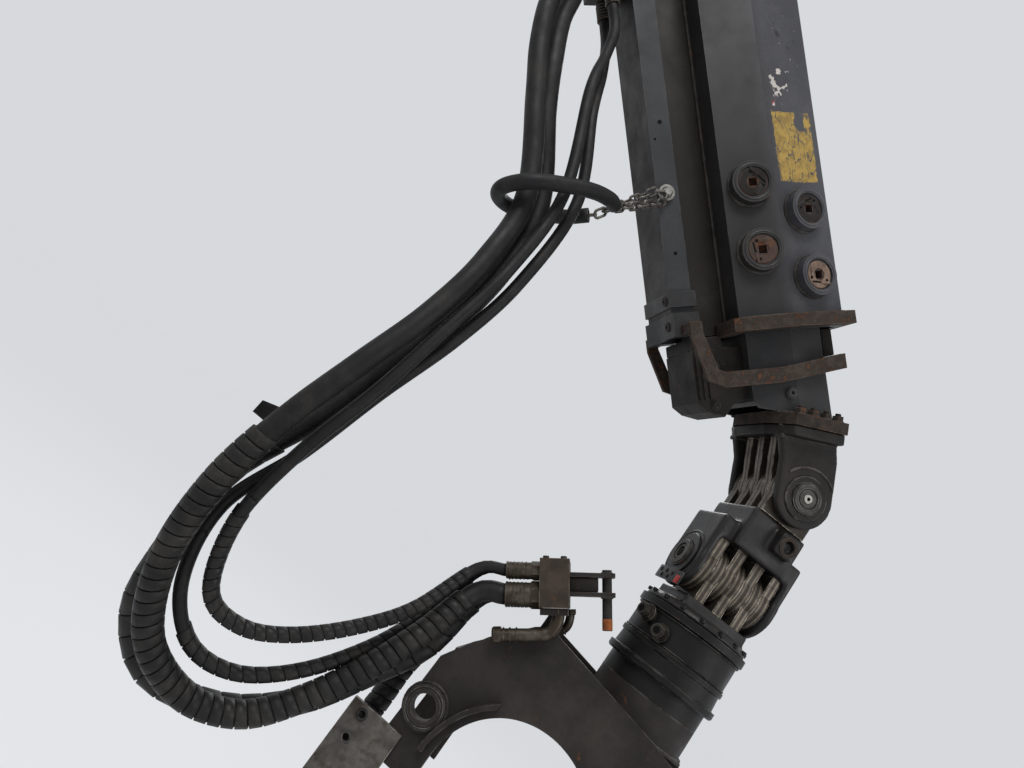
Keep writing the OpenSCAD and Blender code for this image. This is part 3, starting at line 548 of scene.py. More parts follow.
# Bright edge colour of this plate is a painted highlight along its edges
surface("galvanised", (104, 100, 95), (84, 80, 76), 34.0, 0.3, 0.1, 0.5,
        dust=(80, 72, 62), wear_and_highlight=(196, 194, 188), wear_and_highlight_share=0.9, metallic=0.3,
        paint=port_marks)
surface("ferrule", (88, 81, 71), (54, 49, 43), 30.0, 0.3, 0.3, 0.42,
        dust=(56, 48, 40), metallic=0.5, paint=port_marks)
surface("port_dark", (50, 46, 41), (32, 29, 26), 30.0, 0.3, 0.2, 0.5,
        dust=(46, 40, 34), wear_and_highlight=(140, 134, 124), wear_and_highlight_share=0.5, metallic=0.3)
surface("chrome", (200, 200, 200), (182, 182, 180), 20.0, 0.05, 0.0, 0.2,
        metallic=1.0, swing=0.06, bump=0.03)
surface("chain_steel", (112, 108, 102), (78, 74, 70), 40.0, 0.15, 0.3, 0.42, metallic=0.6)
surface("pad_black", (28, 28, 28), (20, 20, 20), 20.0, 0.2, 0.0, 0.6, wear_and_highlight_share=0.1)
surface("weld", (52, 48, 46), (36, 34, 32), 40.0, 0.2, 0.35, 0.6, wear_and_highlight_share=0.5, lumps=0.8)
surface("red_paint", (176, 52, 46), (140, 40, 38), 60.0, 0.2, 0.2, 0.55)
surface("orange_rust", (146, 86, 46), (108, 64, 38), 40.0, 0.1, 0.7, 0.85,
        rust=(128, 72, 36), bump=0.5)
# Near black for holes, slots and sockets: painted shade where the openings are
surface("hole_black", (12, 11, 11), (8, 8, 8), 40.0, 0.05, 0.0, 0.8, wear_and_highlight_share=0.0, shine=0.1)
rubber("hose_black", (26, 25, 26), (18, 18, 19), 0.3, 0.55)
rubber("guard_black", (34, 33, 32), (24, 23, 23), 0.4, 0.5)
rubber("sleeve_black", (27, 27, 28), (20, 20, 21), 0.3, 0.6)

NODE_MATERIALS = {
    "boom_grey": ["stick_box", "stick_tail", "cylinder_lug", "adjuster_bosses"],
    "channel_grey": ["guard_channel"],
    "side_grey": ["extension_box", "channel_collar"],
    "dark_brown": ["rod_block", "cylinder_barrel", "manifold_bracket"],
    "collar_rust": ["mouth_collar", "guard_strap"],
    "flange_rust": ["nose_flange"],
    "plate_dark": ["frame_crown", "tilt_plates", "tilt_bosses", "guard_bar", "stop_bracket"],
    "block_brown": ["manifold"],
    "hanger_dark": ["hanger"],
    "cast_black": ["link_body", "rotator_head"],
    "rotator_black": ["rotator_housing", "rotor_flange", "hose_bulkhead"],
    "disc_brown": ["hanger_discs", "link_discs", "rotator_discs"],
    "pin_grey": ["upper_pin", "lower_pin"],
    "plug_rust": ["adjuster_plugs"],
    "zinc": ["chain_anchor"],
    "galvanised": ["bulkhead_plate"],
    "ferrule": ["hose_ferrules"],
    "port_dark": ["rotator_ports"],
    "chrome": ["cylinder_rod"],
    "chain_steel": ["sling_chain"],
    "pad_black": ["mouth_pads", "rear_pads"],
    "sleeve_black": ["sling_sleeve"],
}
for title, names in NODE_MATERIALS.items():
    for node_name in names:
        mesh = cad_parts[node_name].data
        mesh.materials.clear()
        mesh.materials.append(MATERIALS[title])

# Castings and thick plates get rounded edges; the forgings are softened all over
BEVELS = {
    0.0025: ["stick_box", "cylinder_lug", "stick_tail", "mouth_collar", "guard_strap", "rod_block",
             "nose_flange", "guard_channel", "channel_collar", "tilt_plates", "frame_crown", "manifold",
             "manifold_bracket", "stop_bracket", "guard_bar", "rotator_housing"],
    0.0012: ["adjuster_bosses", "adjuster_plugs", "hose_bulkhead", "tilt_bosses", "bulkhead_plate",
             "upper_pin", "lower_pin", "rotator_ports", "hose_ferrules", "chain_anchor", "rotor_flange"],
    0.0040: ["hanger_discs", "link_discs", "rotator_discs"],
}
for width, names in BEVELS.items():
    for node_name in names:
        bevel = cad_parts[node_name].modifiers.new("edges", "BEVEL")
        bevel.width = width
        bevel.segments = 2
        bevel.limit_method = "ANGLE"
        bevel.angle_limit = math.radians(32)
for node_name, rounds in {"link_body": 26, "hanger": 14, "rotator_head": 8}.items():
    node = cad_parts[node_name]
    remesh = node.modifiers.new("cast", "REMESH")
    remesh.mode = "VOXEL"
    remesh.voxel_size = 0.003
    remesh.use_smooth_shade = True
    smooth = node.modifiers.new("soft", "SMOOTH")
    smooth.factor = 0.5
    smooth.iterations = rounds


# Small parts are gathered by body and material, each batch one object
BATCHES = {}


def gather(body, material, mesh, place=Matrix.Identity(4)):
    verts, faces = BATCHES.setdefault((body, material), ([], []))
    first = len(verts)
    verts.extend(place @ Vector(v) for v in mesh[0])
    faces.extend(tuple(first + i for i in face) for face in mesh[1])


def skin(rows, sides, closed):
    """Faces round rows of points, and over the first and last row where it is closed."""
    faces = []
    for i in range(rows - 1):
        for k in range(sides):
            a, b = i * sides + k, i * sides + (k + 1) % sides
            faces.append((a, b, b + sides, a + sides))
    if closed:
        last = (rows - 1) * sides
        faces.append(tuple(reversed(range(sides))))
        faces.append(tuple(range(last, last + sides)))
    return faces


def lathe(profile, sides=32, closed=True):
    """Turned shape about z from (radius, z) points."""
    verts = [
        (r * math.cos(2 * math.pi * k / sides), r * math.sin(2 * math.pi * k / sides), z)
        for r, z in profile for k in range(sides)
    ]
    return verts, skin(len(profile), sides, closed)


def hoop(r, thick, sides=40):
    """Ring of round section lying in the xy plane."""
    turns = [2 * math.pi * i / 8 for i in range(9)]
    return lathe([(r + thick * math.cos(t), thick * math.sin(t)) for t in turns], sides, False)


def disc(r, low, high, sides=20):
    return lathe([(r, low), (r, high)], sides)


def hex_head(r, h):
    return lathe([(r * 0.97, 0), (r, h * 0.1), (r, h * 0.8), (r * 0.84, h)], 6)


def washer(inner, outer, h):
    profile = [(inner, 0), (outer, 0), (outer, h * 0.7), (outer - h * 0.3, h), (inner, h), (inner, 0)]
    return lathe(profile, 32, False)


def beam(low, high, edge):
    """Box between two corners with rounded edges."""
    shape = bmesh.new()
    bmesh.ops.create_cube(shape, size=1)
    low, high = Vector(low), Vector(high)
    for v in shape.verts:
        v.co = Vector(((low[k] + high[k]) / 2 + v.co[k] * (high[k] - low[k])) for k in range(3))
    bmesh.ops.bevel(shape, geom=shape.edges[:], offset=edge, segments=2, affect="EDGES", profile=0.5)
    shape.verts.index_update()
    mesh = [tuple(v.co) for v in shape.verts], [tuple(v.index for v in f.verts) for f in shape.faces]
    shape.free()
    return mesh


def tube(path, radius, sides, closed=True):
    """Round tube along a path; radius is a number or a function of the distance gone."""
    verts = []
    gone = 0.0
    previous = path[0]
    for point, u, w in frames_along(path):
        gone += (point - previous).length
        previous = point
        r = radius(gone) if callable(radius) else radius
        for k in range(sides):
            angle = 2 * math.pi * k / sides
            verts.append(point + r * (math.cos(angle) * u + math.sin(angle) * w))
    return verts, skin(len(path), sides, closed)


# Weld beads: length of a piece, distance between ripples and the usual radii
BEAD_STEP = 0.0022
RIPPLE = 0.0062
FINE_WELD = 0.0035
WELD = 0.0045
WIDE_WELD = 0.0050


def bead(points, r, closed=False):
    """Weld bead: a tube with overlapping ripples, laid along straight runs."""
    points = [Vector(p) for p in points]
    if closed:
        points.append(points[0])
    path = [points[0]]
    for a, b in zip(points, points[1:]):
        count = max(1, round((b - a).length / BEAD_STEP))
        path.extend(a.lerp(b, (i + 1) / count) for i in range(count))
    start = random.random()
    return tube(path, lambda d: r * (0.86 + 0.22 * ((d / RIPPLE + start) % 1.0) + 0.06 * random.random()), 8)


def weld(body, points, r, place=Matrix.Identity(4), closed=False):
    gather(body, "weld", bead(points, r, closed), place)


def circle_points(r, count, z=0.0):
    turns = [math.radians(360.0 * i / count) for i in range(count + 1)]
    return [(r * math.cos(t), r * math.sin(t), z) for t in turns]


def facing(at, out):
    """Frame at a point with z along out."""
    return Matrix.Translation(at) @ Vector(out).to_track_quat("Z", "Y").to_matrix().to_4x4()


# Box and guard channel of the stick, in its own frame, as in the CAD model
BOX_W, BOX_EDGE_W, BOX_TOP, BOX_BOTTOM, BOX_FOLD = 0.260, 0.220, 0.150, 0.095, 0.020
CHANNEL_W, CHANNEL_DEPTH, WEB_Y = 0.126, 0.225, 0.050
LOWER_LEAN = math.atan2((BOX_W - BOX_EDGE_W) / 2, BOX_BOTTOM + BOX_FOLD)
UPPER_LEAN = math.atan2((BOX_W - BOX_EDGE_W) / 2, BOX_TOP - BOX_FOLD)
# Pad adjusters: distance back from the mouth and height over the axis, look of the plug
ADJUSTERS = [(0.317, -0.036), (0.254, 0.080), (0.170, -0.034), (0.109, 0.082)]
PLUG_LOOKS = ["dark_brown", "dark_brown", "plug_rust", "plug_pale"]
# Radius of the small screw holes, outer faces of the link's forks, pins' ends over them
HOLE_R = 0.0040
CHEEK = 0.1058
PIN_END = 0.0086


def section(d):
    """Outline of the box, drawn in by d, as (across, up) points."""
    edge, fold = BOX_EDGE_W / 2 - d, BOX_W / 2 - d
    low, high = -(BOX_BOTTOM - d), BOX_TOP - d
    return [(-edge, low), (edge, low), (fold, BOX_FOLD), (edge, high), (-edge, high), (-fold, BOX_FOLD)]


def side_frame(side, back, h):
    """Frame on the box's leaning side with z straight out of it."""
    if h < BOX_FOLD:
        half, lean = BOX_EDGE_W / 2 + (h + BOX_BOTTOM) * math.tan(LOWER_LEAN), LOWER_LEAN
    else:
        half, lean = BOX_EDGE_W / 2 + (BOX_TOP - h) * math.tan(UPPER_LEAN), -UPPER_LEAN
    return MOUTH @ move(-back, side * half, h) @ spin(-side * (math.pi / 2 + lean), "X")


on_stick = partial(gather, "stick")
on_extension = partial(gather, "extension")
on_frame = partial(gather, "tilt_frame")


def add_adjusters():
    for side in (-1, 1):
        for number, (back, h) in enumerate(ADJUSTERS):
            place = side_frame(side, back, h)
            weld("stick", circle_points(0.0465, 60, 0.001), FINE_WELD, place)
            on_stick("boom_grey", hoop(0.0385, 0.0016), place @ lift(0.0242))
            on_stick("pad_black", hoop(0.0335, 0.0020), place @ lift(0.0190))
            face = place @ lift(0.0200) @ spin(0.7 + number * 1.3, "Z")
            plug = PLUG_LOOKS[number]
            on_stick(plug, washer(0.0135, 0.0300, 0.0016), face)
            on_stick(plug, beam((-0.0270, 0.0140, 0), (-0.0040, 0.0200, 0.0036), 0.001), face)
            on_stick(plug, beam((0.0160, -0.0180, 0), (0.0220, 0.0060, 0.0036), 0.001), face)
            # the near-black slot and the two holes below are painted shade in the openings
            slot = beam((-0.0030, 0.0150, 0.0005), (0.0190, 0.0190, 0.0022), 0.0005)
            on_stick("hole_black", slot, face)
            for angle in (0.4, 2.6):
                spot = spin(angle, "Z") @ move(0.0225, 0, 0.0012)
                on_stick("hole_black", disc(0.0032, 0, 0.0012, 16), face @ spot)


def add_stick_welds():
    collar = [MOUTH @ Vector((-0.0300, y, z)) for y, z in section(-0.002)]
    weld("stick", collar[1:] + collar[:1], FINE_WELD)
    start = [STICK @ Vector((0.152, y, z)) for y, z in section(-0.001)]
    weld("stick", start, 0.0040, closed=True)
    for side in (-1, 1):
        web = side * (WEB_Y + 0.003)
        line = [MOUTH @ Vector((x, web, -BOX_BOTTOM - 0.002)) for x in (-1.755, -0.030)]
        weld("stick", line, FINE_WELD)
        for wall in (side * 0.055 - 0.010, side * 0.055 + 0.010):
            foot = [STICK @ Vector((x, wall, BOX_TOP + 0.001)) for x in (0.302, 0.518)]
            weld("stick", foot, WELD)
        hub = STICK @ move(0, side * 0.093, 0) @ along_y(-1)
        weld("stick", circle_points(0.066, 60), WELD, hub)
        tube_end = STICK @ move(0, side * 0.120, 0) @ along_y(side)
        on_stick("pin_grey", washer(0.0370, 0.0560, 0.0030), tube_end)
        lug = STICK @ move(0.430, side * 0.0655, 0.230) @ along_y(side)
        on_stick("boom_grey", washer(0.0262, 0.0400, 0.0040), lug)
    nipple = STICK @ move(-0.030, 0.040, 0.0575) @ spin(-0.5, "Y")
    on_stick("zinc", hex_head(0.0060, 0.006), nipple)
    head = lathe([(0.0035, 0.006), (0.0035, 0.011), (0.0026, 0.013), (0.0034, 0.016)], 14)
    on_stick("zinc", head, nipple)


def add_channel_details():
    for back, h, r in ((0.488, -0.197, 0.0045), (0.449, -0.213, 0.0026), (0.191, -0.198, 0.0042)):
        for side in (-1, 1):
            place = MOUTH @ move(-back, side * CHANNEL_W / 2, h) @ along_y(side)
            # near-black disc in each hole is painted shade
            on_stick("hole_black", disc(r, 0, 0.0003), place)
            on_stick("channel_grey", hoop(r + 0.0008, 0.0006, 20), place)
    for x in (-0.089, -0.033):
        place = MOUTH @ move(x, -0.046, -CHANNEL_DEPTH - 0.0032) @ spin(math.pi, "X")
        on_stick("dark_brown", washer(HOLE_R, 0.0105, 0.0030), place)
        # near-black disc in the washer's hole is painted shade
        on_stick("hole_black", disc(HOLE_R, 0, 0.0008), place)
    # carrier of the upper wear pad, between the collar and the strap
    carrier = beam((0.0015, -0.0880, 0.1085), (0.0610, 0.0880, 0.1340), 0.003)
    on_stick("dark_brown", carrier, MOUTH)
    for y in (-0.055, 0.0, 0.055):
        on_stick("dark_brown", hex_head(0.0085, 0.0060), MOUTH @ move(0.031, y, 0.1338))
    anchor = MOUTH @ move(-0.324, -CHANNEL_W / 2 - 0.0109, -0.205) @ along_y(-1)
    on_stick("pin_grey", hoop(0.0115, 0.0012), anchor)
    on_stick("pin_grey", hex_head(0.0088, 0.0050), anchor @ lift(0.0005))


def crimp(place, d, length, body):
    """Hose fitting over a plain ferrule: crimp rings, a lip and a hex nut at its foot."""
    r = d / 2
    for k in range(5):
        gather(body, "ferrule", hoop(r, 0.0014), place @ lift(length * (0.42 + 0.12 * k)))
    gather(body, "ferrule", hex_head(r * 1.14, length * 0.30), place)
    gather(body, "ferrule", hoop(r * 0.98, 0.0022), place @ lift(length * 0.99))


# Hose ends on the stick: distance from the pivot, height, places across, diameter
STICK_ENDS = [(0.890, -0.300, (-0.060, 0.0), HOSE_D), (1.171, -0.265, (-0.045, 0.015), THIN_D)]
# Ferrules on the manifold: across, up and diameter
MANIFOLD_ENDS = [
    (-0.026, -0.024, 0.048), (0.026, -0.024, 0.048), (0.100, -0.024, 0.048),
    (-0.026, 0.024, 0.032), (0.026, 0.024, 0.032),
]


def add_fittings():
    for x, h, places, d in STICK_ENDS:
        for y in places:
            crimp(STICK @ move(x, y, h) @ along_x(1), d + 0.008, 0.058, "stick")
            back = STICK @ move(x - 0.016, y, h) @ along_x(-1)
            on_stick("ferrule", hex_head(d * 0.62, 0.014), back)
            stub = lathe([(d * 0.40, 0.013), (d * 0.40, 0.034), (d * 0.34, 0.038)])
            on_stick("ferrule", stub, back)
    for y, z, d in MANIFOLD_ENDS:
        crimp(MANIFOLD @ move(-0.0301, y, z) @ along_x(-1), d, 0.068, "tilt_frame")


def add_manifold_details():
    screw = lathe([(0.0065, 0), (0.0065, 0.004), (0.0055, 0.005)], 20)
    for y in (-0.042, 0.120):
        for x in (-0.018, 0.018):
            on_frame("pin_grey", screw, MANIFOLD @ lift(0.048) @ move(x, y, 0))
    tip = lathe([(0.0085, 0), (0.0103, 0.002), (0.0103, 0.022), (0.0101, 0.023)])
    on_frame("orange_rust", tip, MANIFOLD @ move(0.106, 0, -0.0885))
    for z in (0.0235, -0.0245):
        ring = MANIFOLD @ move(0.106, 0, z)
        weld("tilt_frame", circle_points(0.0105, 30), 0.0025, ring)
    # Body between the plates; its dark brown also stands for the painted shade there
    body = beam((0.0302, -0.0200, -0.0148), (0.0880, 0.0200, 0.0138), 0.003)
    on_frame("dark_brown", body, MANIFOLD)
    # elbows out of the block's underside, each with a nut, rings and a collar at its end
    for x, y, r, reach in ((0.008, -0.032, 0.0125, 0.112), (0.030, 0.078, 0.0095, 0.040)):
        path = smooth_path([(x, y, -0.049), (x, y, -0.066), (x - 0.008, y, -0.086),
                            (x - 0.030, y - 0.001, -0.098), (x - reach, y - 0.002, -0.102)], 0.004)
        path = [MANIFOLD @ p for p in path]
        on_frame("ferrule", tube(path, r, 20))
        on_frame("ferrule", hex_head(r * 1.5, 0.012), facing(path[0], path[1] - path[0]))
        for back in (2, 5, 8):
            spot = facing(path[-back], path[-back] - path[-back - 1])
            on_frame("ferrule", hoop(r + 0.0006, 0.0018, 32), spot)
        end = facing(path[-1], path[-1] - path[-2])
        cap = lathe([(r, 0), (r * 1.3, 0.001), (r * 1.3, 0.016), (r * 1.1, 0.019)])
        on_frame("ferrule", cap, end)


def add_nose_details():
    for side in (-1, 1):
        corners = ((0.0885, 0.088), (0.1075, 0.012), (0.096, -0.036))
        edge = [NOSE @ Vector((-0.026, side * y, z)) for y, z in corners]
        weld("extension", edge, WELD)
    screw_end = lathe([(0.0060, 0.012), (0.0060, 0.017), (0.0052, 0.018)], 16)
    for side in (-1, 1):
        for rise in (0.002, 0.032, 0.062, 0.090):
            back = NOSE @ move(-0.0250, side * 0.121, rise) @ along_x(-1)
            on_extension("flange_rust", washer(0.0, 0.0128, 0.0025), back)
            on_extension("dark_brown", screw_end, back)
        for y in (side * 0.1065, side * 0.0855):
            foot = [NOSE @ Vector((0.0245, y, z)) for z in (-0.026, 0.104)]
            weld("extension", foot, WIDE_WELD)
        # raised rim round the pin and the bent weld over it
        hub = Matrix.Translation(PIN_A + Vector((0, side * CHEEK, 0))) @ along_y(side)
        on_extension("hanger_dark", washer(0.0345, 0.0480, 0.0040), hub)
        arc = [PIN_A + Vector((0.066 * math.cos(t), side * 0.1062, 0.066 * math.sin(t)))
               for t in [math.radians(52 + 5 * k) for k in range(22)]]
        on_extension("pin_grey", bead(arc, 0.0028))
        pin = hub @ lift(PIN_END)
        on_extension("pin_grey", washer(0.0225, 0.0300, 0.0030), pin)
        on_extension("pin_grey", washer(0.0115, 0.0185, 0.0020), pin)
        on_extension("zinc", washer(HOLE_R, 0.0100, 0.0040), pin)
        # near-black disc in the pin's hole is painted shade
        on_extension("hole_black", disc(HOLE_R, 0, 0.0010), pin)
        boss = MOUTH @ move(0.136, side * 0.1075, 0.006) @ along_y(side)
        on_extension("side_grey", washer(HOLE_R, 0.0105, 0.0045), boss)
        # near-black disc in the boss's hole is painted shade
        on_extension("hole_black", disc(HOLE_R, 0, 0.0032, 16), boss)
        weld("extension", circle_points(0.0112, 24), 0.0018, boss)
    housing = beam((-0.0035, -0.0655, -0.1905), (0.0238, 0.0655, -0.1180), 0.003)
    on_extension("dark_brown", housing, MOUTH)
    for x, h in ((0.055, -0.125), (0.145, -0.150)):
        place = MOUTH @ move(x, -0.0660, h) @ along_y(-1)
        on_extension("dark_brown", washer(0.0, 0.0120, 0.0020), place)
        on_extension("dark_brown", hex_head(0.0085, 0.0080), place)


def add_link_details():
    for side in (-1, 1):
        hub = Matrix.Translation(PIN_B + Vector((side * CHEEK, 0, 0))) @ along_x(side)
        gather("link", "cast_black", washer(0.0345, 0.0520, 0.0050), hub)
        gather("link", "cast_black", hoop(0.0600, 0.0022, 60), hub)
        pin = hub @ lift(PIN_END)
        gather("link", "pin_grey", washer(0.0210, 0.0300, 0.0035), pin)
        gather("link", "pin_grey", washer(0.0130, 0.0180, 0.0018), pin)
        # near-black hex in the pin's end is painted shade in its socket
        gather("link", "hole_black", hex_head(0.0110, 0.0012), pin)
    # holed plate low on the near left cheek, with a dab of red paint at its end
    plate = Matrix.Translation(PIN_B + Vector((-0.1062, 0, 0.0))) @ along_x(-1)
    gather("link", "cast_black", beam((-0.070, -0.060, 0), (-0.040, 0.056, 0.005), 0.002), plate)
    # near-black holes in the plate are painted shade
    for z, y in ((-0.050, 0.040), (-0.062, 0.026), (-0.050, 0.012), (-0.062, -0.004), (-0.052, -0.018)):
        gather("link", "hole_black", disc(0.0048, 0.0040, 0.0054, 18), plate @ move(z, y, 0))
    dab = beam((-0.0685, -0.0585, 0.0045), (-0.0510, -0.0400, 0.0062), 0.0006)
    gather("link", "red_paint", dab, plate)
    socket = Matrix.Translation(PIN_A + Vector((0.022, -0.1150, -0.1080))) @ along_y(-1)
    gather("link", "flange_rust", washer(0.0140, 0.0215, 0.0020), socket)


def add_rotator_details():
    centre = Matrix.Translation(PIN_B)
    bolt = lathe([(0.0058, 0), (0.0058, 0.007), (0.0048, 0.008)], 16)
    bolt_count = 16
    for k in range(bolt_count):
        rim = centre @ spin(2 * math.pi * k / bolt_count, "Z") @ move(0.1145, 0, -0.1035)
        gather("rotator", "rotator_black", bolt, rim)
    for z, r in ((-0.1330, 0.1188), (-0.1880, 0.1170), (-0.2350, 0.1250)):
        gather("rotator", "rotator_black", hoop(r, 0.0016, 96), centre @ lift(z))
    for angle, z in ((200, -0.150), (222, -0.170)):
        out = centre @ spin(math.radians(angle), "Z") @ move(0.126, 0, z) @ along_x(1)
        gather("rotator", "port_dark", washer(0.0120, 0.0190, 0.0030), out)
        gather("rotator", "port_dark", hoop(0.0122, 0.0012), out @ lift(0.016))
        # near-black disc in the port is painted shade
        gather("rotator", "hole_black", disc(0.0070, 0.0236, 0.0244), out)


def add_frame_details():
    for side in (-1, 1):
        for x, z, bore, r in ((-0.352, -0.562, 0.025, 0.042), (0.118, -0.520, 0.020, 0.034)):
            face = HEAD @ move(x, side * 0.1301, z) @ along_y(side)
            weld("tilt_frame", circle_points(r + 0.002, 60, 0.001), 0.0040, face)
            rim = face @ lift(0.0138)
            on_frame("plate_dark", washer(bore + 0.0012, r - 0.008, 0.0030), rim)
            on_frame("pin_grey", hoop(r - 0.004, 0.0012), rim)
        edge = [HEAD @ Vector((x, side * 0.1135, -0.350)) for x in (-0.236, 0.099)]
        weld("tilt_frame", edge, WIDE_WELD)
    weld("tilt_frame", circle_points(0.1135, 90, 0.001), WIDE_WELD, HEAD @ lift(-0.3518))
    for k in range(8):
        low = HEAD @ spin(math.radians(45 * k + 22.5), "Z") @ move(0.098, 0, -0.2862)
        place = low @ spin(math.pi, "X") @ lift(-0.0006)
        on_frame("pin_grey", hex_head(0.0110, 0.0070), place)
    for z in (-0.650, -0.700):
        hole = HEAD @ move(-0.443, -0.1382, z) @ along_y(-1)
        on_frame("pin_grey", washer(0.0084, 0.0125, 0.0016), hole)


# Plastic guards: start and end share of the hose, then gap, pitch and thickness
SPIRALS = {
    "hose_a": (0.555, 0.965, 0.0018, 0.0215, 0.0042),
    "hose_b": (0.545, 0.965, 0.0018, 0.0400, 0.0040),
    "hose_c": (0.640, 0.960, 0.0015, 0.0200, 0.0025),
    "hose_d": (0.700, 0.965, 0.0015, 0.0240, 0.0025),
    "hose_e": (0.180, 0.860, 0.0018, 0.0240, 0.0040),
}
# Outline of a guard's strip: share of its width, then share of its thickness; the
# ends lie a little under the hose's skin
STRIP = ((-0.5, -0.0004), (-0.49, 0.70), (-0.45, 1.0), (0.45, 1.0), (0.49, 0.70), (0.5, -0.0004))
STEPS_PER_TURN = 14


def spiral(path, radius, start, end, gap, pitch, thick):
    """Flat plastic strip wound round a hose, from one distance along it to another."""
    marks = [0.0]
    for a, b in zip(path, path[1:]):
        marks.append(marks[-1] + (b - a).length)
    frames = frames_along(path)
    verts, faces = [], []
    count = int((end - start) / pitch * STEPS_PER_TURN)
    at = 0
    width = pitch - gap
    for i in range(count + 1):
        d = start + (end - start) * i / count
        angle = 2 * math.pi * d / pitch
        for along, rise in STRIP:
            here = min(max(d + along * width, 0.0), marks[-1])
            while at > 0 and marks[at] > here:
                at -= 1
            while at < len(marks) - 2 and marks[at + 1] < here:
                at += 1
            share = (here - marks[at]) / max(1e-9, marks[at + 1] - marks[at])
            point, u, w = (p.lerp(q, share) for p, q in zip(frames[at], frames[at + 1]))
            out = math.cos(angle) * u.normalized() + math.sin(angle) * w.normalized()
            verts.append(point + (radius + max(rise, 0.0) * thick + min(rise, 0.0)) * out)
    row = len(STRIP)
    for i in range(count):
        for k in range(row - 1):
            a = i * row + k
            faces.append((a, a + 1, a + row + 1, a + row))
    return verts, faces


add_adjusters()
add_stick_welds()
add_channel_details()
add_fittings()
add_manifold_details()
add_nose_details()
add_link_details()
add_rotator_details()
add_frame_details()
SHARP = math.radians(38)
for (body, title), (verts, faces) in BATCHES.items():
    batch = new_object(f"{body}_{title}_details", verts, faces)
    batch.data.set_sharp_from_angle(angle=SHARP)
    batch.data.materials.append(MATERIALS[title])
    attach(batch, body)


# Hoses: each runs on over the joints, so it is split where one joint's turn
# ends and the next one's starts; the shares are of the hose's whole length
SPLITS = {
    "hose_a": (0.63, 0.80, 0.90),
    "hose_b": (0.66, 0.81, 0.905),
    "hose_c": (0.62, 0.79, 0.89),
    "hose_d": (0.62, 0.79, 0.89),
}
HOSE_SIDES = 20
SLEEVE_SIDES = 24
SLEEVE_WALL = 0.0035


def cut_path(path, shares):
    total = path_length(path)
    parts, current, gone, marks = [], [path[0]], 0.0, [s * total for s in shares]
    for a, b in zip(path, path[1:]):
        gone += (b - a).length
        current.append(b)
        if marks and gone >= marks[0]:
            parts.append(current)
            current = [b]
            marks.pop(0)
    parts.append(current)
    return parts


def hose_piece(name, mesh, title="hose_black"):
    piece = new_object(name, *mesh)
    piece.data.materials.append(MATERIALS[title])
    return piece


def add_hoses():
    for name, route in ROUTES.items():
        diameter = THIN_D if name in ("hose_c", "hose_d") else HOSE_D
        path = smooth_path([Vector(p) / 1000 for p in route], 0.012)
        first, last, gap, pitch, thick = SPIRALS[name]
        total = path_length(path)
        if name == "hose_e":
            hose = hose_piece("hose_e_run", tube(path, diameter / 2, HOSE_SIDES))
            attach(hose, "tilt_frame")
            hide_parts(name)
            guard = spiral(path, diameter / 2, first * total, last * total, gap, pitch, thick)
            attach(hose_piece("hose_e_guard", guard, "guard_black"), "tilt_frame")
            continue
        marks = [0.0]
        for k, part in enumerate(cut_path(path, SPLITS[name])):
            hose = hose_piece(f"{name}_run{k + 1}", tube(part, diameter / 2, HOSE_SIDES))
            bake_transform(hose)
            if k == 0:
                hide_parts(name)
            if name == "hose_b" and k == 1:
                add_flap()
            marks.append(marks[-1] + path_length(part))
            low, high = max(first * total, marks[k]), min(last * total, marks[k + 1])
            if high - low > pitch:
                guard = spiral(path, diameter / 2, low, high, gap, pitch, thick)
                guard = hose_piece(f"{name}_guard{k + 1}", guard, "guard_black")
                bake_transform(guard)


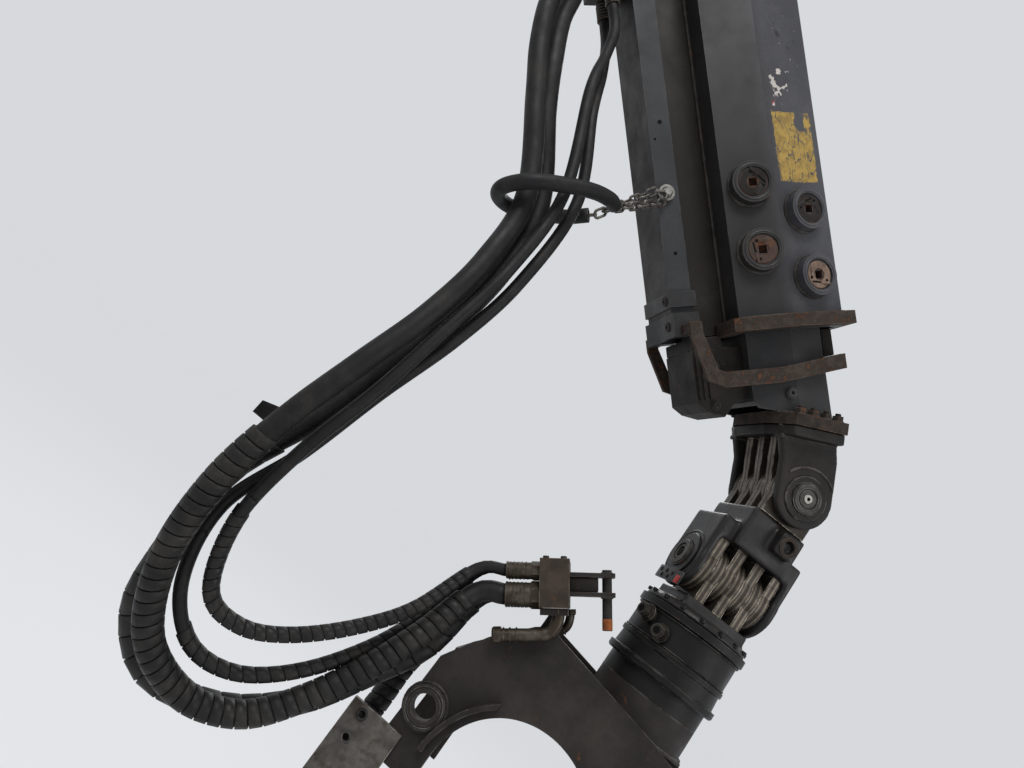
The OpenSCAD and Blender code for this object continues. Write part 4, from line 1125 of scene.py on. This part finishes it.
def add_flap():
    """Loose end of a rubber wrap, standing off the second thick hose."""
    long_steps, high_steps, thickness = 8, 4, 0.0032
    root_low, root_high = Vector((0.6935, -0.170, -2.2500)), Vector((0.7130, -0.176, -2.2060))
    out_low, out_high = Vector((0.6495, -0.166, -2.2480)), Vector((0.6510, -0.170, -2.2220))
    middle = (root_low + root_high) / 2
    root_low, root_high = root_low.lerp(middle, -0.05), root_high.lerp(middle, -0.05)
    hollow = Vector((0.0, 0.010, 0.0))
    verts, faces = [], []
    row = high_steps + 1
    layer_size = (long_steps + 1) * row
    for thick in (0.0, thickness):
        for i in range(long_steps + 1):
            t = i / long_steps
            sag = hollow * math.sin(math.pi * t) + Vector((0.0, thick, 0.0))
            low, high = root_low.lerp(out_low, t), root_high.lerp(out_high, t)
            verts.extend(low.lerp(high, k / high_steps) + sag for k in range(row))
    for layer in (0, layer_size):
        for i in range(long_steps):
            for k in range(high_steps):
                a = layer + i * row + k
                quad = (a, a + 1, a + row + 1, a + row)
                faces.append(quad if layer else tuple(reversed(quad)))
    border = list(range(row)) + [i * row + high_steps for i in range(1, long_steps + 1)]
    border += [long_steps * row + k for k in range(high_steps - 1, -1, -1)]
    border += [i * row for i in range(long_steps - 1, 0, -1)]
    for a, b in zip(border, border[1:] + border[:1]):
        faces.append((a, b, b + layer_size, a + layer_size))
    flap = hose_piece("wrap_flap", (verts, faces), "sleeve_black")
    flap.data.set_sharp_from_angle(angle=SHARP)
    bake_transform(flap)


def add_sleeve():
    """Smooth rubber sleeve with open ends, between the chain's two runs."""
    path = smooth_path([Vector(p) / 1000 for p in SLING_ROUTE], 0.008)
    outer, faces = tube(path, SLEEVE_D / 2, SLEEVE_SIDES, False)
    inner, _ = tube(path, SLEEVE_D / 2 - SLEEVE_WALL, SLEEVE_SIDES, False)
    first = len(outer)
    faces = faces + [tuple(first + i for i in reversed(f)) for f in faces]
    for start in (0, first - SLEEVE_SIDES):
        for k in range(SLEEVE_SIDES):
            a, b = start + k, start + (k + 1) % SLEEVE_SIDES
            rim = (a, first + a, first + b, b)
            faces.append(rim if start == 0 else tuple(reversed(rim)))
    sleeve = new_object("sling_sleeve_tube", outer + inner, faces)
    sleeve.data.materials.append(MATERIALS["sleeve_black"])
    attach(sleeve, "stick")
    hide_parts("sling_sleeve")


add_hoses()
add_sleeve()
